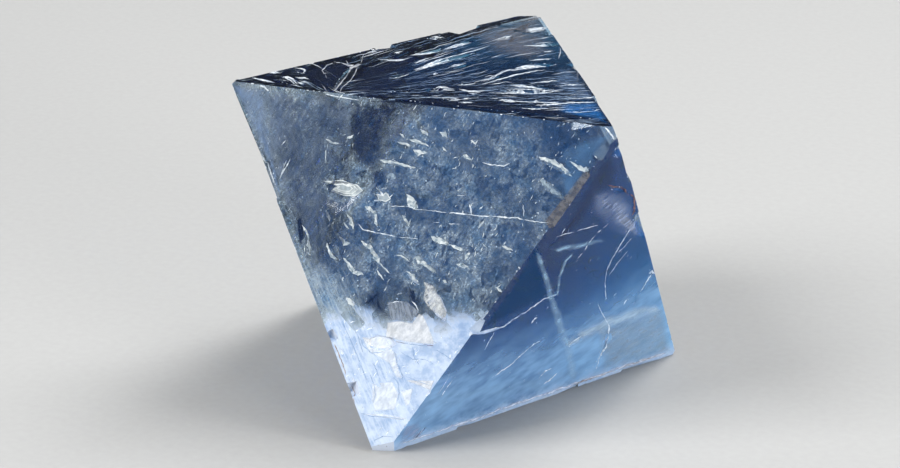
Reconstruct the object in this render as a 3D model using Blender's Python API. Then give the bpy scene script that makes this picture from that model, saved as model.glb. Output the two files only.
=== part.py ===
"""A blue fluorite octahedron: one crystal, split along its cleavage on all eight faces.

Metres, +Z up. The crystal rests on one face, which lies on the XY plane, and the origin is
under its middle. X runs along the front edge of the top face, and the front face looks to -Y.
"""

import itertools
import math
import random
from dataclasses import dataclass

import bmesh
import bpy
from mathutils import Matrix, Vector

MM = 0.001

# Driving dimensions: every face lies a whole number of cleavage layers from the middle.
LAYER = 0.3 * MM
SIDE_LEAN = math.asin(1 / 3)
FACE_LAYERS = {
    "top": 68,
    "bottom": 68,
    "front": 67,
    "back_right": 69,
    "back_left": 70,
    "right": 70,
    "back": 67,
    "left": 69,
}

# The way each side face looks, and whether it leans back (1) or overhangs (-1).
SIDE_FACES = {
    "front": (270, 1),
    "back_right": (30, 1),
    "back_left": (150, 1),
    "right": (330, -1),
    "back": (90, -1),
    "left": (210, -1),
}

# Each corner is where three of the faces meet.
CORNER_FACES = {
    "top_left": ("top", "front", "left"),
    "top_back": ("top", "back_right", "back"),
    "top_right": ("top", "front", "back_right"),
    "low_right": ("bottom", "right", "back"),
    "low_front": ("bottom", "front", "right"),
    "low_left": ("bottom", "back", "left"),
}

SEED = 9
LEVEL = 0.9
BLOCK_SIZE = 120 * MM
MERGE_DISTANCE = 0.001 * MM
CUTTER_RISE = 1.2 * MM
SCAR_SIDES = 7
SCAR_RAGGEDNESS = 0.16

# A chip's cutter is a block with six sides that flare out upwards.
CHIP_SIDES = 6
CHIP_REACH = 4 * MM
CHIP_FLARE = 2.0


@dataclass(frozen=True)
class Scar:
    """A flake's shallow scar on a face, in millimetres from the middle of the face.

    The floor slopes from the surface, at the end that turn points away from, to depth.
    """

    right: float
    up: float
    length: float
    width: float
    turn: float
    depth: float = 0.3


@dataclass(frozen=True)
class Ledge:
    """A thin layer missing from a face, inside an outline in millimetres."""

    outline: tuple
    depth: float


@dataclass(frozen=True)
class EdgeChip:
    """A flat chip along an edge: how far its middle is from the first corner, in millimetres.

    It starts at the edge, deepens towards the end corner and stops there in a small step.
    """

    start: str
    end: str
    distance: float
    length: float
    depth: float
    roll: float = 0.0


@dataclass(frozen=True)
class CornerChip:
    """A broken corner, cut through a point on each of three edges, in millimetres from it."""

    corner: str
    cuts: tuple


FRONT_SCARS = (
    Scar(-8.7, 3.0, 5.2, 1.8, 178, 0.5),
    Scar(-10.6, 8.5, 2.4, 0.6, -8),
    Scar(-1.8, 6.9, 4.7, 0.6, -5),
    Scar(-3.3, 2.7, 2.6, 1.5, 160, 0.4),
    Scar(0.6, 2.5, 2.2, 1.0, -39),
    Scar(-4.3, 0.3, 3.0, 0.7, -52),
    Scar(-10.3, -0.6, 1.7, 0.6, -52),
    Scar(-7.1, -0.9, 2.2, 0.7, -61),
    Scar(-12.5, -4.5, 3.0, 0.6, -67),
    Scar(-8.3, -3.2, 1.5, 0.7, -49),
    Scar(-8.8, -5.5, 2.0, 0.5, -35),
    Scar(-6.5, -6.3, 2.7, 0.6, -41),
    Scar(-4.1, -4.1, 3.3, 0.6, -39),
    Scar(-6.0, -10.7, 1.4, 0.6, -30),
    Scar(0.0, 0.1, 1.8, 0.6, -55),
    Scar(2.1, -4.4, 1.3, 0.8, -23),
    Scar(3.9, -5.3, 2.5, 0.5, -25),
    Scar(1.8, -6.7, 2.1, 0.7, -40),
    Scar(5.3, -9.4, 4.4, 2.0, -55, 0.5),
    Scar(4.7, -1.6, 2.2, 0.7, -15),
    Scar(7.2, -2.2, 1.6, 0.5, -16),
    Scar(8.9, -4.4, 1.7, 0.7, 172),
    Scar(6.0, -6.7, 1.2, 0.5, -18),
    Scar(13.5, -1.6, 1.6, 0.5, -16),
    Scar(9.7, 1.0, 1.4, 0.5, 62),
    Scar(0.5, 9.9, 2.6, 0.5, -9),
    Scar(-1.6, 9.1, 1.6, 0.5, -13),
    Scar(1.1, 11.2, 1.3, 0.8, -20),
    Scar(3.8, 11.2, 1.2, 0.6, -36),
    Scar(6.9, 8.7, 1.4, 0.6, -18),
    Scar(18.2, 9.2, 4.6, 1.0, -21, 0.4),
    Scar(18.2, 6.2, 3.8, 1.1, -33, 0.4),
    Scar(-1.3, -15.2, 4.4, 1.8, 3, 0.4),
)

TOP_SCARS = (
    Scar(-3.4, 3.6, 9.7, 1.3, 66, 0.45),
    Scar(-6.6, 6.6, 5.2, 1.0, 59, 0.35),
    Scar(-3.8, 12.2, 2.4, 0.9, 62),
    Scar(-8.6, 12.2, 1.8, 1.1, 30),
    Scar(-0.6, 2.0, 3.1, 0.7, 65),
    Scar(2.6, -4.6, 2.5, 0.6, 51),
    Scar(-0.4, -8.4, 2.6, 1.2, 38, 0.4),
    Scar(4.2, -8.6, 2.4, 0.8, 37),
    Scar(9.7, -5.4, 7.4, 1.5, 21, 0.5),
    Scar(11.2, -2.9, 4.5, 0.8, 4),
    Scar(3.2, -10.9, 3.6, 0.8, 31),
    Scar(13.0, -8.2, 5.4, 0.9, 19, 0.4),
    Scar(13.9, -10.4, 2.6, 0.7, 17),
    Scar(6.2, 3.4, 2.2, 0.8, 50),
    Scar(8.6, 6.2, 3.4, 1.5, 29, 0.5),
    Scar(2.4, 21.6, 3.4, 1.3, 48, 0.4),
    Scar(6.2, 14.9, 4.1, 1.3, 36, 0.5),
    Scar(0.4, 15.9, 2.4, 0.9, 56),
    Scar(5.0, -0.9, 3.0, 0.6, 65),
    Scar(19.4, -9.8, 4.2, 0.8, 34),
    Scar(18.6, -5.9, 2.6, 0.8, 16),
    Scar(-6.6, -4.9, 3.3, 0.8, 61),
    Scar(-4.0, -10.5, 3.2, 0.7, 24),
    Scar(-20.8, -12.3, 4.2, 0.7, -8),
    Scar(-17.6, -11.4, 2.6, 0.8, -28),
    Scar(-19.0, -7.4, 2.2, 0.8, -28),
    Scar(-12.9, -8.2, 8.0, 0.6, 101, 0.35),
)

RIGHT_SCARS = (
    Scar(-12.2, 1.7, 4.2, 0.6, -4, 0.2),
    Scar(-8.2, 2.3, 2.9, 0.6, 23, 0.2),
    Scar(4.4, -5.3, 2.9, 0.7, 33, 0.2),
    Scar(9.9, -8.6, 4.1, 0.7, 82, 0.25),
    Scar(3.4, 19.2, 3.0, 0.7, -25, 0.25),
    Scar(-19.0, -12.4, 1.6, 0.5, 48, 0.2),
)

LEDGES = {
    "top": (
        Ledge(((-7.5, -15.5), (-4, -13.6), (8, -13.2), (23, -12.0), (27, -15.5)), 0.12),
        Ledge(((2, 30), (-2.6, 22.0), (1.5, 19.5), (7, 20.5), (9, 30)), 0.25),
    ),
    "right": (Ledge(((-16, -15.2), (-11, -13.9), (16, -13.6), (24, -15.2)), 0.15),),
    "back_left": (
        Ledge(((-27, 15.5), (-19, 1.5), (-13.5, 5.0), (-8, 15.5)), 0.3),
        Ledge(((2, 15.5), (5, 11.8), (19, 12.2), (27, 15.5)), 0.2),
        Ledge(((-1, -31), (-7, -14.5), (-2.2, -13.0), (2, -20)), 0.35),
    ),
    "back_right": (
        Ledge(((-27, 15.5), (-21, 5.0), (-16.5, 6.2), (-12, 15.5)), 0.3),
        Ledge(((1, -31), (8, -14.0), (4.6, -9.0), (1.4, -14.0)), 0.25),
    ),
    "back": (
        Ledge(((-27, -15.5), (-20, -4.2), (-14.8, -8.0), (-12, -15.5)), 0.3),
        Ledge(((5, -15.5), (8, -12.4), (20, -12.0), (27, -15.5)), 0.25),
    ),
    "left": (
        Ledge(((-27, -15.5), (-19.5, -3.5), (-15, -7.5), (-12, -15.5)), 0.3),
        Ledge(((1, 30), (7.5, 15.5), (4.0, 12.5), (-1.2, 18.5)), 0.3),
    ),
}

EDGE_CHIPS = (
    EdgeChip("top_right", "low_front", 3.4, 2.0, 0.25, 12),
    EdgeChip("top_right", "low_front", 10.4, 8.8, 0.25, 6),
    EdgeChip("top_right", "low_front", 29.6, 2.4, 0.35, -10),
    EdgeChip("top_left", "top_right", 14.6, 4.4, 0.45, 14),
    EdgeChip("top_right", "top_left", 3.9, 3.6, 0.4, -14),
    EdgeChip("low_front", "top_left", 37.0, 5.6, 0.7, -14),
    EdgeChip("top_left", "low_front", 3.6, 2.6, 0.4, 10),
    EdgeChip("top_left", "low_front", 34.6, 1.6, 0.2, 12),
    EdgeChip("low_front", "top_left", 8.9, 1.8, 0.2, -10),
    EdgeChip("top_left", "top_back", 24.0, 3.0, 0.4, 12),
    EdgeChip("top_back", "top_left", 12.4, 5.0, 0.5, -10),
    EdgeChip("top_back", "top_right", 8.0, 4.6, 0.45, 12),
    EdgeChip("top_right", "top_back", 24.4, 3.4, 0.35, -12),
    EdgeChip("low_right", "low_front", 6.5, 7.0, 0.45, 14),
    EdgeChip("low_front", "low_right", 29.4, 5.4, 0.4, -10),
    EdgeChip("low_right", "low_front", 36.0, 4.0, 0.35, 12),
    EdgeChip("top_right", "low_right", 3.4, 2.2, 0.4, 12),
    EdgeChip("low_right", "top_right", 30.4, 5.0, 0.4, -12),
    EdgeChip("low_left", "low_front", 12.0, 6.6, 0.6, 12),
    EdgeChip("top_left", "low_left", 34.0, 7.6, 0.7, -14),
    EdgeChip("low_left", "top_back", 27.0, 7.0, 0.7, 14),
    EdgeChip("top_back", "low_right", 35.6, 5.6, 0.65, -14),
    EdgeChip("low_right", "low_left", 24.0, 8.0, 0.55, 12),
)

CORNER_CHIPS = (
    CornerChip("top_right", (("top_left", 2.2), ("low_front", 1.9), ("top_back", 0.7))),
    CornerChip("low_front", (("top_left", 1.3), ("top_right", 2.0), ("low_right", 1.5))),
    CornerChip("low_right", (("top_right", 0.7), ("low_front", 0.5), ("low_left", 1.2))),
    CornerChip("top_left", (("top_right", 0.7), ("low_front", 0.5), ("top_back", 0.8))),
    CornerChip("top_back", (("top_left", 1.6), ("top_right", 0.9), ("low_right", 1.4))),
    CornerChip("low_left", (("top_left", 1.2), ("low_front", 1.7), ("top_back", 1.5))),
)

# Small random scoops along every edge: radius, place along it, lift and stretch in radii.
SCOOPS_PER_EDGE = 8
SCOOP_RADII = (0.15 * MM, 0.36 * MM)
SCOOP_PLACES = (0.06, 0.94)
SCOOP_LIFTS = (0.35, 0.6)
SCOOP_STRETCHES = (1.4, 3.0)

# Random scars on the faces turned away, with the way their scars point, in millimetres and degrees.
SCARS_PER_FACE = {"back_left": 15, "back_right": 15, "back": 12, "left": 12}
SCAR_TURNS = {"back_left": -55, "back_right": 60, "back": 0, "left": -60}
SCAR_TURN_SPREAD = 18
SCAR_LENGTHS = (1.6, 4.4)
SCAR_WIDTHS = (0.5, 1.4)
SCAR_DEPTHS = (0.2, 0.45)
SCAR_GAP = 0.4
LEAST_CORNER_SHARE = 0.12

SLATE_BLUE = (0.22, 0.34, 0.52, 1)
ROUGHNESS = 0.08
FLUORITE_IOR = 1.434
CLEARNESS = 0.85


def clear_scene() -> None:
    """Removes every object that the scene starts with."""
    for obj in list(bpy.data.objects):
        bpy.data.objects.remove(obj, do_unlink=True)


def face_normal(face: str) -> Vector:
    """Returns the outward direction of a face."""
    if face == "top":
        return Vector((0, 0, 1))
    if face == "bottom":
        return Vector((0, 0, -1))
    azimuth, lean = SIDE_FACES[face]
    flat = Vector((math.cos(math.radians(azimuth)), math.sin(math.radians(azimuth)), 0))
    return flat * math.cos(SIDE_LEAN) + Vector((0, 0, lean * math.sin(SIDE_LEAN)))


NORMALS = {face: face_normal(face) for face in FACE_LAYERS}
MIDDLE = Vector((0, 0, FACE_LAYERS["bottom"] * LAYER))


def face_middle(face: str) -> Vector:
    """Returns the point of a face that is nearest to the crystal's middle."""
    return MIDDLE + NORMALS[face] * FACE_LAYERS[face] * LAYER


def meeting_point(faces: tuple) -> Vector:
    """Returns the point where three faces meet."""
    rows = Matrix([NORMALS[face] for face in faces])
    distances = Vector([NORMALS[face].dot(face_middle(face)) for face in faces])
    return rows.inverted() @ distances


CORNERS = {corner: meeting_point(faces) for corner, faces in CORNER_FACES.items()}


def opposite(one: str, other: str) -> bool:
    """Tells whether two corners face each other through the middle, and so share no edge."""
    pairs = ({"top_left", "low_right"}, {"top_back", "low_front"}, {"top_right", "low_left"})
    return {one, other} in pairs


def face_placing(face: str) -> Matrix:
    """Returns the frame of a face: X to its right seen from outside, Y up it, Z out of it."""
    normal = NORMALS[face]
    level = abs(normal.z) > LEVEL
    right = Vector((1, 0, 0)) if level else Vector((0, 0, 1)).cross(normal)
    right.normalize()
    basis = Matrix((right, normal.cross(right), normal)).transposed().to_4x4()
    return Matrix.Translation(face_middle(face)) @ basis


def edge_placing(start: str, end: str, distance: float) -> Matrix:
    """Returns a frame on an edge: X along it, Z straight out of the crystal."""
    along = (CORNERS[end] - CORNERS[start]).normalized()
    outward = (CORNERS[start] + CORNERS[end]) / 2 - MIDDLE
    outward = (outward - along * outward.dot(along)).normalized()
    basis = Matrix((along, outward.cross(along), outward)).transposed().to_4x4()
    return Matrix.Translation(CORNERS[start] + along * distance) @ basis


def cut_away(bm: bmesh.types.BMesh, point: Vector, normal: Vector) -> None:
    """Cuts off what lies beyond a plane and closes the cut with one flat face."""
    everything = bm.verts[:] + bm.edges[:] + bm.faces[:]
    made = bmesh.ops.bisect_plane(
        bm, geom=everything, plane_co=point, plane_no=normal, clear_outer=True
    )
    rim = [item for item in made["geom_cut"] if isinstance(item, bmesh.types.BMEdge)]
    if rim:
        bmesh.ops.holes_fill(bm, edges=rim)


def cleaved_block() -> bmesh.types.BMesh:
    """Returns the octahedron, cut from a block face by face, with its broken corners."""
    bm = bmesh.new()
    bmesh.ops.create_cube(bm, size=BLOCK_SIZE, matrix=Matrix.Translation(MIDDLE))
    for face, normal in NORMALS.items():
        cut_away(bm, face_middle(face), normal)
    for chip in CORNER_CHIPS:
        corner = CORNERS[chip.corner]
        ways = [(CORNERS[end] - corner).normalized() for end, _ in chip.cuts]
        points = [corner + way * cut * MM for way, (_, cut) in zip(ways, chip.cuts)]
        normal = (points[1] - points[0]).cross(points[2] - points[0]).normalized()
        if normal.dot(corner - MIDDLE) < 0:
            normal.negate()
        cut_away(bm, points[0], normal)
    bmesh.ops.remove_doubles(bm, verts=bm.verts[:], dist=MERGE_DISTANCE)
    bmesh.ops.recalc_face_normals(bm, faces=bm.faces[:])
    return bm


def raise_prism(bm: bmesh.types.BMesh, outline: list, placing: Matrix) -> None:
    """Adds a closed upright prism on an outline of points, from its floor to above the face."""
    corners = [bm.verts.new(point) for point in outline]
    floor = bmesh.ops.contextual_create(bm, geom=corners)["faces"]
    made = bmesh.ops.extrude_face_region(bm, geom=floor)["geom"]
    raised = [item for item in made if isinstance(item, bmesh.types.BMVert)]
    bmesh.ops.translate(bm, verts=raised, vec=(0, 0, CUTTER_RISE))
    bmesh.ops.transform(bm, matrix=placing, verts=corners + raised)
    sides = {face for corner in corners + raised for face in corner.link_faces}
    bmesh.ops.recalc_face_normals(bm, faces=list(sides))


def add_scar(bm: bmesh.types.BMesh, scar: Scar, face: str, rng: random.Random) -> None:
    """Adds the cutter of one scar: a ragged plate that leans into the face."""
    outline = []
    for side in range(SCAR_SIDES):
        angle = 2 * math.pi * side / SCAR_SIDES
        reach = 0.5 * MM * (1 + rng.uniform(-SCAR_RAGGEDNESS, SCAR_RAGGEDNESS))
        along = reach * scar.length * math.cos(angle)
        across = reach * scar.width * math.sin(angle)
        outline.append(Vector((along, across, 0)))
    lean = math.atan2(scar.depth, scar.length)
    sunk = Matrix.Translation((0, 0, -scar.depth * MM / 2)) @ Matrix.Rotation(lean, 4, "Y")
    spot = Matrix.Translation((scar.right * MM, scar.up * MM, 0))
    turned = Matrix.Rotation(math.radians(scar.turn), 4, "Z")
    raise_prism(bm, outline, face_placing(face) @ spot @ turned @ sunk)


def add_ledge(bm: bmesh.types.BMesh, ledge: Ledge, face: str) -> None:
    """Adds the cutter of one ledge."""
    outline = [Vector((right, up, -ledge.depth)) * MM for right, up in ledge.outline]
    raise_prism(bm, outline, face_placing(face))


def add_edge_chip(bm: bmesh.types.BMesh, chip: EdgeChip) -> None:
    """Adds the cutter of one flat chip: a block whose underside dips below the edge."""
    placing = edge_placing(chip.start, chip.end, chip.distance * MM)
    roll = Matrix.Rotation(math.radians(chip.roll), 4, "X")
    lean = Matrix.Rotation(math.atan2(chip.depth, chip.length), 4, "Y")
    lift = Matrix.Translation((0, 0, (CHIP_REACH - chip.depth * MM) / 2))
    size = Matrix.Diagonal((chip.length * MM, CHIP_REACH, CHIP_REACH, 1))
    bmesh.ops.create_cone(
        bm,
        cap_ends=True,
        segments=CHIP_SIDES,
        radius1=0.5,
        radius2=0.5 * CHIP_FLARE,
        depth=1,
        matrix=placing @ roll @ lean @ lift @ size,
    )


def add_scoop(bm: bmesh.types.BMesh, start: str, end: str, rng: random.Random) -> None:
    """Adds the cutter of one small scoop at a random place on an edge."""
    span = (CORNERS[end] - CORNERS[start]).length
    radius = rng.uniform(*SCOOP_RADII)
    placing = edge_placing(start, end, rng.uniform(*SCOOP_PLACES) * span)
    spin = Matrix.Rotation(rng.uniform(0, math.pi), 4, "X")
    lift = Matrix.Translation((0, 0, radius * rng.uniform(*SCOOP_LIFTS)))
    stretch = Matrix.Diagonal((rng.uniform(*SCOOP_STRETCHES), 1, 1, 1))
    bmesh.ops.create_icosphere(
        bm, subdivisions=1, radius=radius, matrix=placing @ lift @ stretch @ spin
    )


def face_corners(face: str) -> list:
    """Returns the three corners of a face."""
    middle = face_middle(face)
    return sorted(CORNERS.values(), key=lambda corner: abs((corner - middle).dot(NORMALS[face])))[:3]


def random_scars(face: str, rng: random.Random) -> list:
    """Returns scars for a face that is turned away, apart from each other and its edges."""
    scars = []
    corners = face_corners(face)
    to_face = face_placing(face).inverted()
    while len(scars) < SCARS_PER_FACE[face]:
        shares = [rng.uniform(LEAST_CORNER_SHARE, 1) for _ in corners]
        weighted = [corner * share for corner, share in zip(corners, shares)]
        spot = to_face @ (sum(weighted, Vector()) / sum(shares)) / MM
        length = rng.uniform(*SCAR_LENGTHS)
        turn = SCAR_TURNS[face] + rng.uniform(-SCAR_TURN_SPREAD, SCAR_TURN_SPREAD)
        scar = Scar(spot.x, spot.y, length, rng.uniform(*SCAR_WIDTHS), turn, rng.uniform(*SCAR_DEPTHS))
        if all(far_apart(scar, other) for other in scars):
            scars.append(scar)
    return scars


def far_apart(one: Scar, other: Scar) -> bool:
    """Tells whether two scars of a face can't touch."""
    reach = (one.length + other.length) / 2 + SCAR_GAP
    return math.hypot(one.right - other.right, one.up - other.up) > reach


def new_object(
    name: str, bm: bmesh.types.BMesh, collection: bpy.types.Collection
) -> bpy.types.Object:
    """Turns a bmesh into an object in a collection."""
    mesh = bpy.data.meshes.new(name)
    bm.to_mesh(mesh)
    bm.free()
    obj = bpy.data.objects.new(name, mesh)
    collection.objects.link(obj)
    return obj


def new_collection(name: str) -> bpy.types.Collection:
    """Makes a collection in the scene."""
    collection = bpy.data.collections.new(name)
    bpy.context.scene.collection.children.link(collection)
    return collection


def cut_with(
    crystal: bpy.types.Object, name: str, bm: bmesh.types.BMesh, cutters: bpy.types.Collection
) -> None:
    """Takes a set of cutters out of the crystal with one Boolean."""
    cutter = new_object(name, bm, cutters)
    cutter.hide_render = True
    cutter.display_type = "WIRE"
    cut = crystal.modifiers.new(name, "BOOLEAN")
    cut.operation = "DIFFERENCE"
    cut.solver = "EXACT"
    cut.use_self = True
    cut.object = cutter


def fluorite_material() -> bpy.types.Material:
    """Returns the clear, slate blue material of the crystal."""
    material = bpy.data.materials.new("blue_fluorite")
    material.use_nodes = True
    shader = material.node_tree.nodes["Principled BSDF"]
    shader.inputs["Base Color"].default_value = SLATE_BLUE
    shader.inputs["Roughness"].default_value = ROUGHNESS
    shader.inputs["Metallic"].default_value = 0.0
    shader.inputs["IOR"].default_value = FLUORITE_IOR
    shader.inputs["Transmission Weight"].default_value = CLEARNESS
    return material


def ledge_cutter() -> bmesh.types.BMesh:
    """Returns the cutter of every ledge."""
    bm = bmesh.new()
    for face, steps in LEDGES.items():
        for ledge in steps:
            add_ledge(bm, ledge, face)
    return bm


def scar_cutter(rng: random.Random) -> bmesh.types.BMesh:
    """Returns the cutter of every scar."""
    bm = bmesh.new()
    marks = {"front": FRONT_SCARS, "top": TOP_SCARS, "right": RIGHT_SCARS}
    marks.update({face: random_scars(face, rng) for face in SCARS_PER_FACE})
    for face, scars in marks.items():
        for scar in scars:
            add_scar(bm, scar, face, rng)
    return bm


def chip_cutter(rng: random.Random) -> bmesh.types.BMesh:
    """Returns the cutter of every chip and scoop along the edges."""
    bm = bmesh.new()
    for chip in EDGE_CHIPS:
        add_edge_chip(bm, chip)
    for start, end in itertools.combinations(CORNERS, 2):
        if not opposite(start, end):
            for _ in range(SCOOPS_PER_EDGE):
                add_scoop(bm, start, end, rng)
    return bm


def build_crystal() -> None:
    """Builds the crystal with its ledges, scars and chips."""
    rng = random.Random(SEED)
    parts = new_collection("fluorite_octahedron_parts")
    cutters = new_collection("cutters")
    crystal = new_object("fluorite_octahedron", cleaved_block(), parts)
    crystal.data.materials.append(fluorite_material())
    cut_with(crystal, "ledge_cutter", ledge_cutter(), cutters)
    cut_with(crystal, "scar_cutter", scar_cutter(rng), cutters)
    cut_with(crystal, "chip_cutter", chip_cutter(rng), cutters)


clear_scene()
build_crystal()
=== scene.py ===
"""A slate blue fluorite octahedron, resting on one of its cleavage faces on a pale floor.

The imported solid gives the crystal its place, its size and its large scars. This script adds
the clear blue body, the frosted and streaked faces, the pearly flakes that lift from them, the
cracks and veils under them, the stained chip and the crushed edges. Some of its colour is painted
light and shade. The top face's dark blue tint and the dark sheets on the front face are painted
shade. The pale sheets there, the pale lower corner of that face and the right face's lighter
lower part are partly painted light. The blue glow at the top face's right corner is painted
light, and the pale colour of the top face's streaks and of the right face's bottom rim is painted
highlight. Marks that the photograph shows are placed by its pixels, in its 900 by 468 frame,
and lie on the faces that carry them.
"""

import logging
import math
import random
from collections.abc import Callable, Iterable
from dataclasses import dataclass, field
from enum import Enum

import bmesh
import bpy
from mathutils import Matrix, Vector
from mathutils.bvhtree import BVHTree
from mathutils.geometry import intersect_point_line


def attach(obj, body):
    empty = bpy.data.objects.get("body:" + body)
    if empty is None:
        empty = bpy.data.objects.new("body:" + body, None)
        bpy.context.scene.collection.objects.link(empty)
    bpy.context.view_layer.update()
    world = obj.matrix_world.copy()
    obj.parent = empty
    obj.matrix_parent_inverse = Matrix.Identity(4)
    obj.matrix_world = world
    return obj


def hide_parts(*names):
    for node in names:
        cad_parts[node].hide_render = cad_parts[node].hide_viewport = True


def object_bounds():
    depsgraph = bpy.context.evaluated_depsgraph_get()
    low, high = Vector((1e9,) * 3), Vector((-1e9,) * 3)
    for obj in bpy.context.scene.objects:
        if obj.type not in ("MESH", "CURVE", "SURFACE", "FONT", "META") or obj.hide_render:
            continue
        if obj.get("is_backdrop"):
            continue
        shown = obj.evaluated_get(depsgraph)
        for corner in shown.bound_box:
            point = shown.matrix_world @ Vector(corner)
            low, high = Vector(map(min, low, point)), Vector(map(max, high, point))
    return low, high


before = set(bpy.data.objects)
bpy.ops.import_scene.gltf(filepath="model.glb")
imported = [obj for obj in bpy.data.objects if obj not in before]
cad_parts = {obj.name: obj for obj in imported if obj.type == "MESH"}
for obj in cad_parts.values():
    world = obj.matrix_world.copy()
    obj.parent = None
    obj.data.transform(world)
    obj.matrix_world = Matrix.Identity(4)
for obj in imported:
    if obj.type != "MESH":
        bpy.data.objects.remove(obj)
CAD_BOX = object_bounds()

LOG = logging.getLogger("fluorite")
MM = 0.001
LAYER = 0.3 * MM
VEIL_STEP = 0.0025
FLUORITE_IOR = 1.434
# The glint that marks a flake's sunken sides. Every other glint is from 0 to 1.
SUNK = -1.0
NODE = "fluorite_octahedron"

Pixel = tuple[float, float]
Stop = tuple[float, float, float]
Colour = tuple[float, float, float]


class Face(Enum):
    """A cleavage face: the way it looks in degrees, its rise in thirds, its distance in layers."""

    TOP = (0, 3, 68)
    BOTTOM = (0, -3, 68)
    FRONT = (270, 1, 67)
    BACK_RIGHT = (30, 1, 69)
    BACK_LEFT = (150, 1, 70)
    RIGHT = (330, -1, 70)
    BACK = (90, -1, 67)
    LEFT = (210, -1, 69)

    @property
    def normal(self) -> Vector:
        """Returns the way the face looks."""
        azimuth, thirds, _ = self.value
        rise = thirds / 3
        reach = math.sqrt(max(0.0, 1 - rise * rise))
        turn = math.radians(azimuth)
        return Vector((math.cos(turn) * reach, math.sin(turn) * reach, rise))

    @property
    def middle(self) -> Vector:
        """Returns the point of the face that is nearest to the crystal's middle."""
        return crystal_middle() + self.normal * self.value[2] * LAYER

    @property
    def placing(self) -> Matrix:
        """Returns the face's frame: X to its right seen from outside, Y up it, Z out of it."""
        normal = self.normal
        level = abs(self.value[1]) == 3
        right = Vector((1, 0, 0)) if level else Vector((0, 0, 1)).cross(normal).normalized()
        basis = Matrix((right, normal.cross(right), normal)).transposed().to_4x4()
        return Matrix.Translation(self.middle) @ basis


def crystal_middle() -> Vector:
    """Returns the middle of the crystal, its bottom face's distance above the floor."""
    return Vector((0, 0, Face.BOTTOM.value[2] * LAYER))


@dataclass(frozen=True)
class Sight:
    """The photograph's camera. It also tells where a pixel lies on a face.

    Angles are in degrees. The camera turns about a point near the crystal's middle.
    """

    azimuth: float = 21.064
    elevation: float = 20.947
    distance: float = 332.735 * MM
    aside: float = -1.355 * MM
    lift: float = -1.597 * MM
    lens: float = 102.41
    sensor: float = 36.0
    frame_width: float = 900.0
    frame_height: float = 468.0

    @property
    def back(self) -> Vector:
        """Returns the way from the crystal to the camera."""
        turn, rise = math.radians(self.azimuth), math.radians(self.elevation)
        level = math.cos(rise)
        return Vector((math.sin(turn) * level, -math.cos(turn) * level, math.sin(rise)))

    @property
    def right(self) -> Vector:
        """Returns the way to the right in the picture."""
        turn = math.radians(self.azimuth)
        return Vector((math.cos(turn), math.sin(turn), 0))

    @property
    def upward(self) -> Vector:
        """Returns the way up in the picture."""
        return self.back.cross(self.right)

    @property
    def place(self) -> Vector:
        """Returns the point that the camera stands at."""
        target = crystal_middle() + self.right * self.aside + self.upward * self.lift
        return target + self.back * self.distance

    def on_face(self, x: float, y: float, face: Face, rise: float = 0.0) -> Vector:
        """Returns the point of a face that a pixel shows.

        Args:
            x: The pixel's place from the left edge of the frame.
            y: The pixel's place from the top edge of the frame.
            face: The face that carries the point.
            rise: How far above the face the point lies, in metres.

        Returns:
            The point in the scene.
        """
        focal = self.lens / self.sensor * self.frame_width
        aside = self.right * (x - self.frame_width / 2) / focal
        down = self.upward * (self.frame_height / 2 - y) / focal
        ray = aside + down - self.back
        level = face.middle + face.normal * rise
        reach = (level - self.place).dot(face.normal) / ray.dot(face.normal)
        return self.place + ray * reach

    def add_camera(self) -> bpy.types.Object:
        """Adds the scene's camera."""
        data = bpy.data.cameras.new("photo_camera")
        data.lens = self.lens
        data.sensor_width = self.sensor
        data.sensor_fit = "HORIZONTAL"
        data.clip_start = 0.01
        camera = bpy.data.objects.new("photo_camera", data)
        basis = Matrix((self.right, self.upward, self.back)).transposed().to_4x4()
        camera.matrix_world = Matrix.Translation(self.place) @ basis
        bpy.context.scene.collection.objects.link(camera)
        bpy.context.scene.camera = camera
        return camera


SIGHT = Sight()


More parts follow.
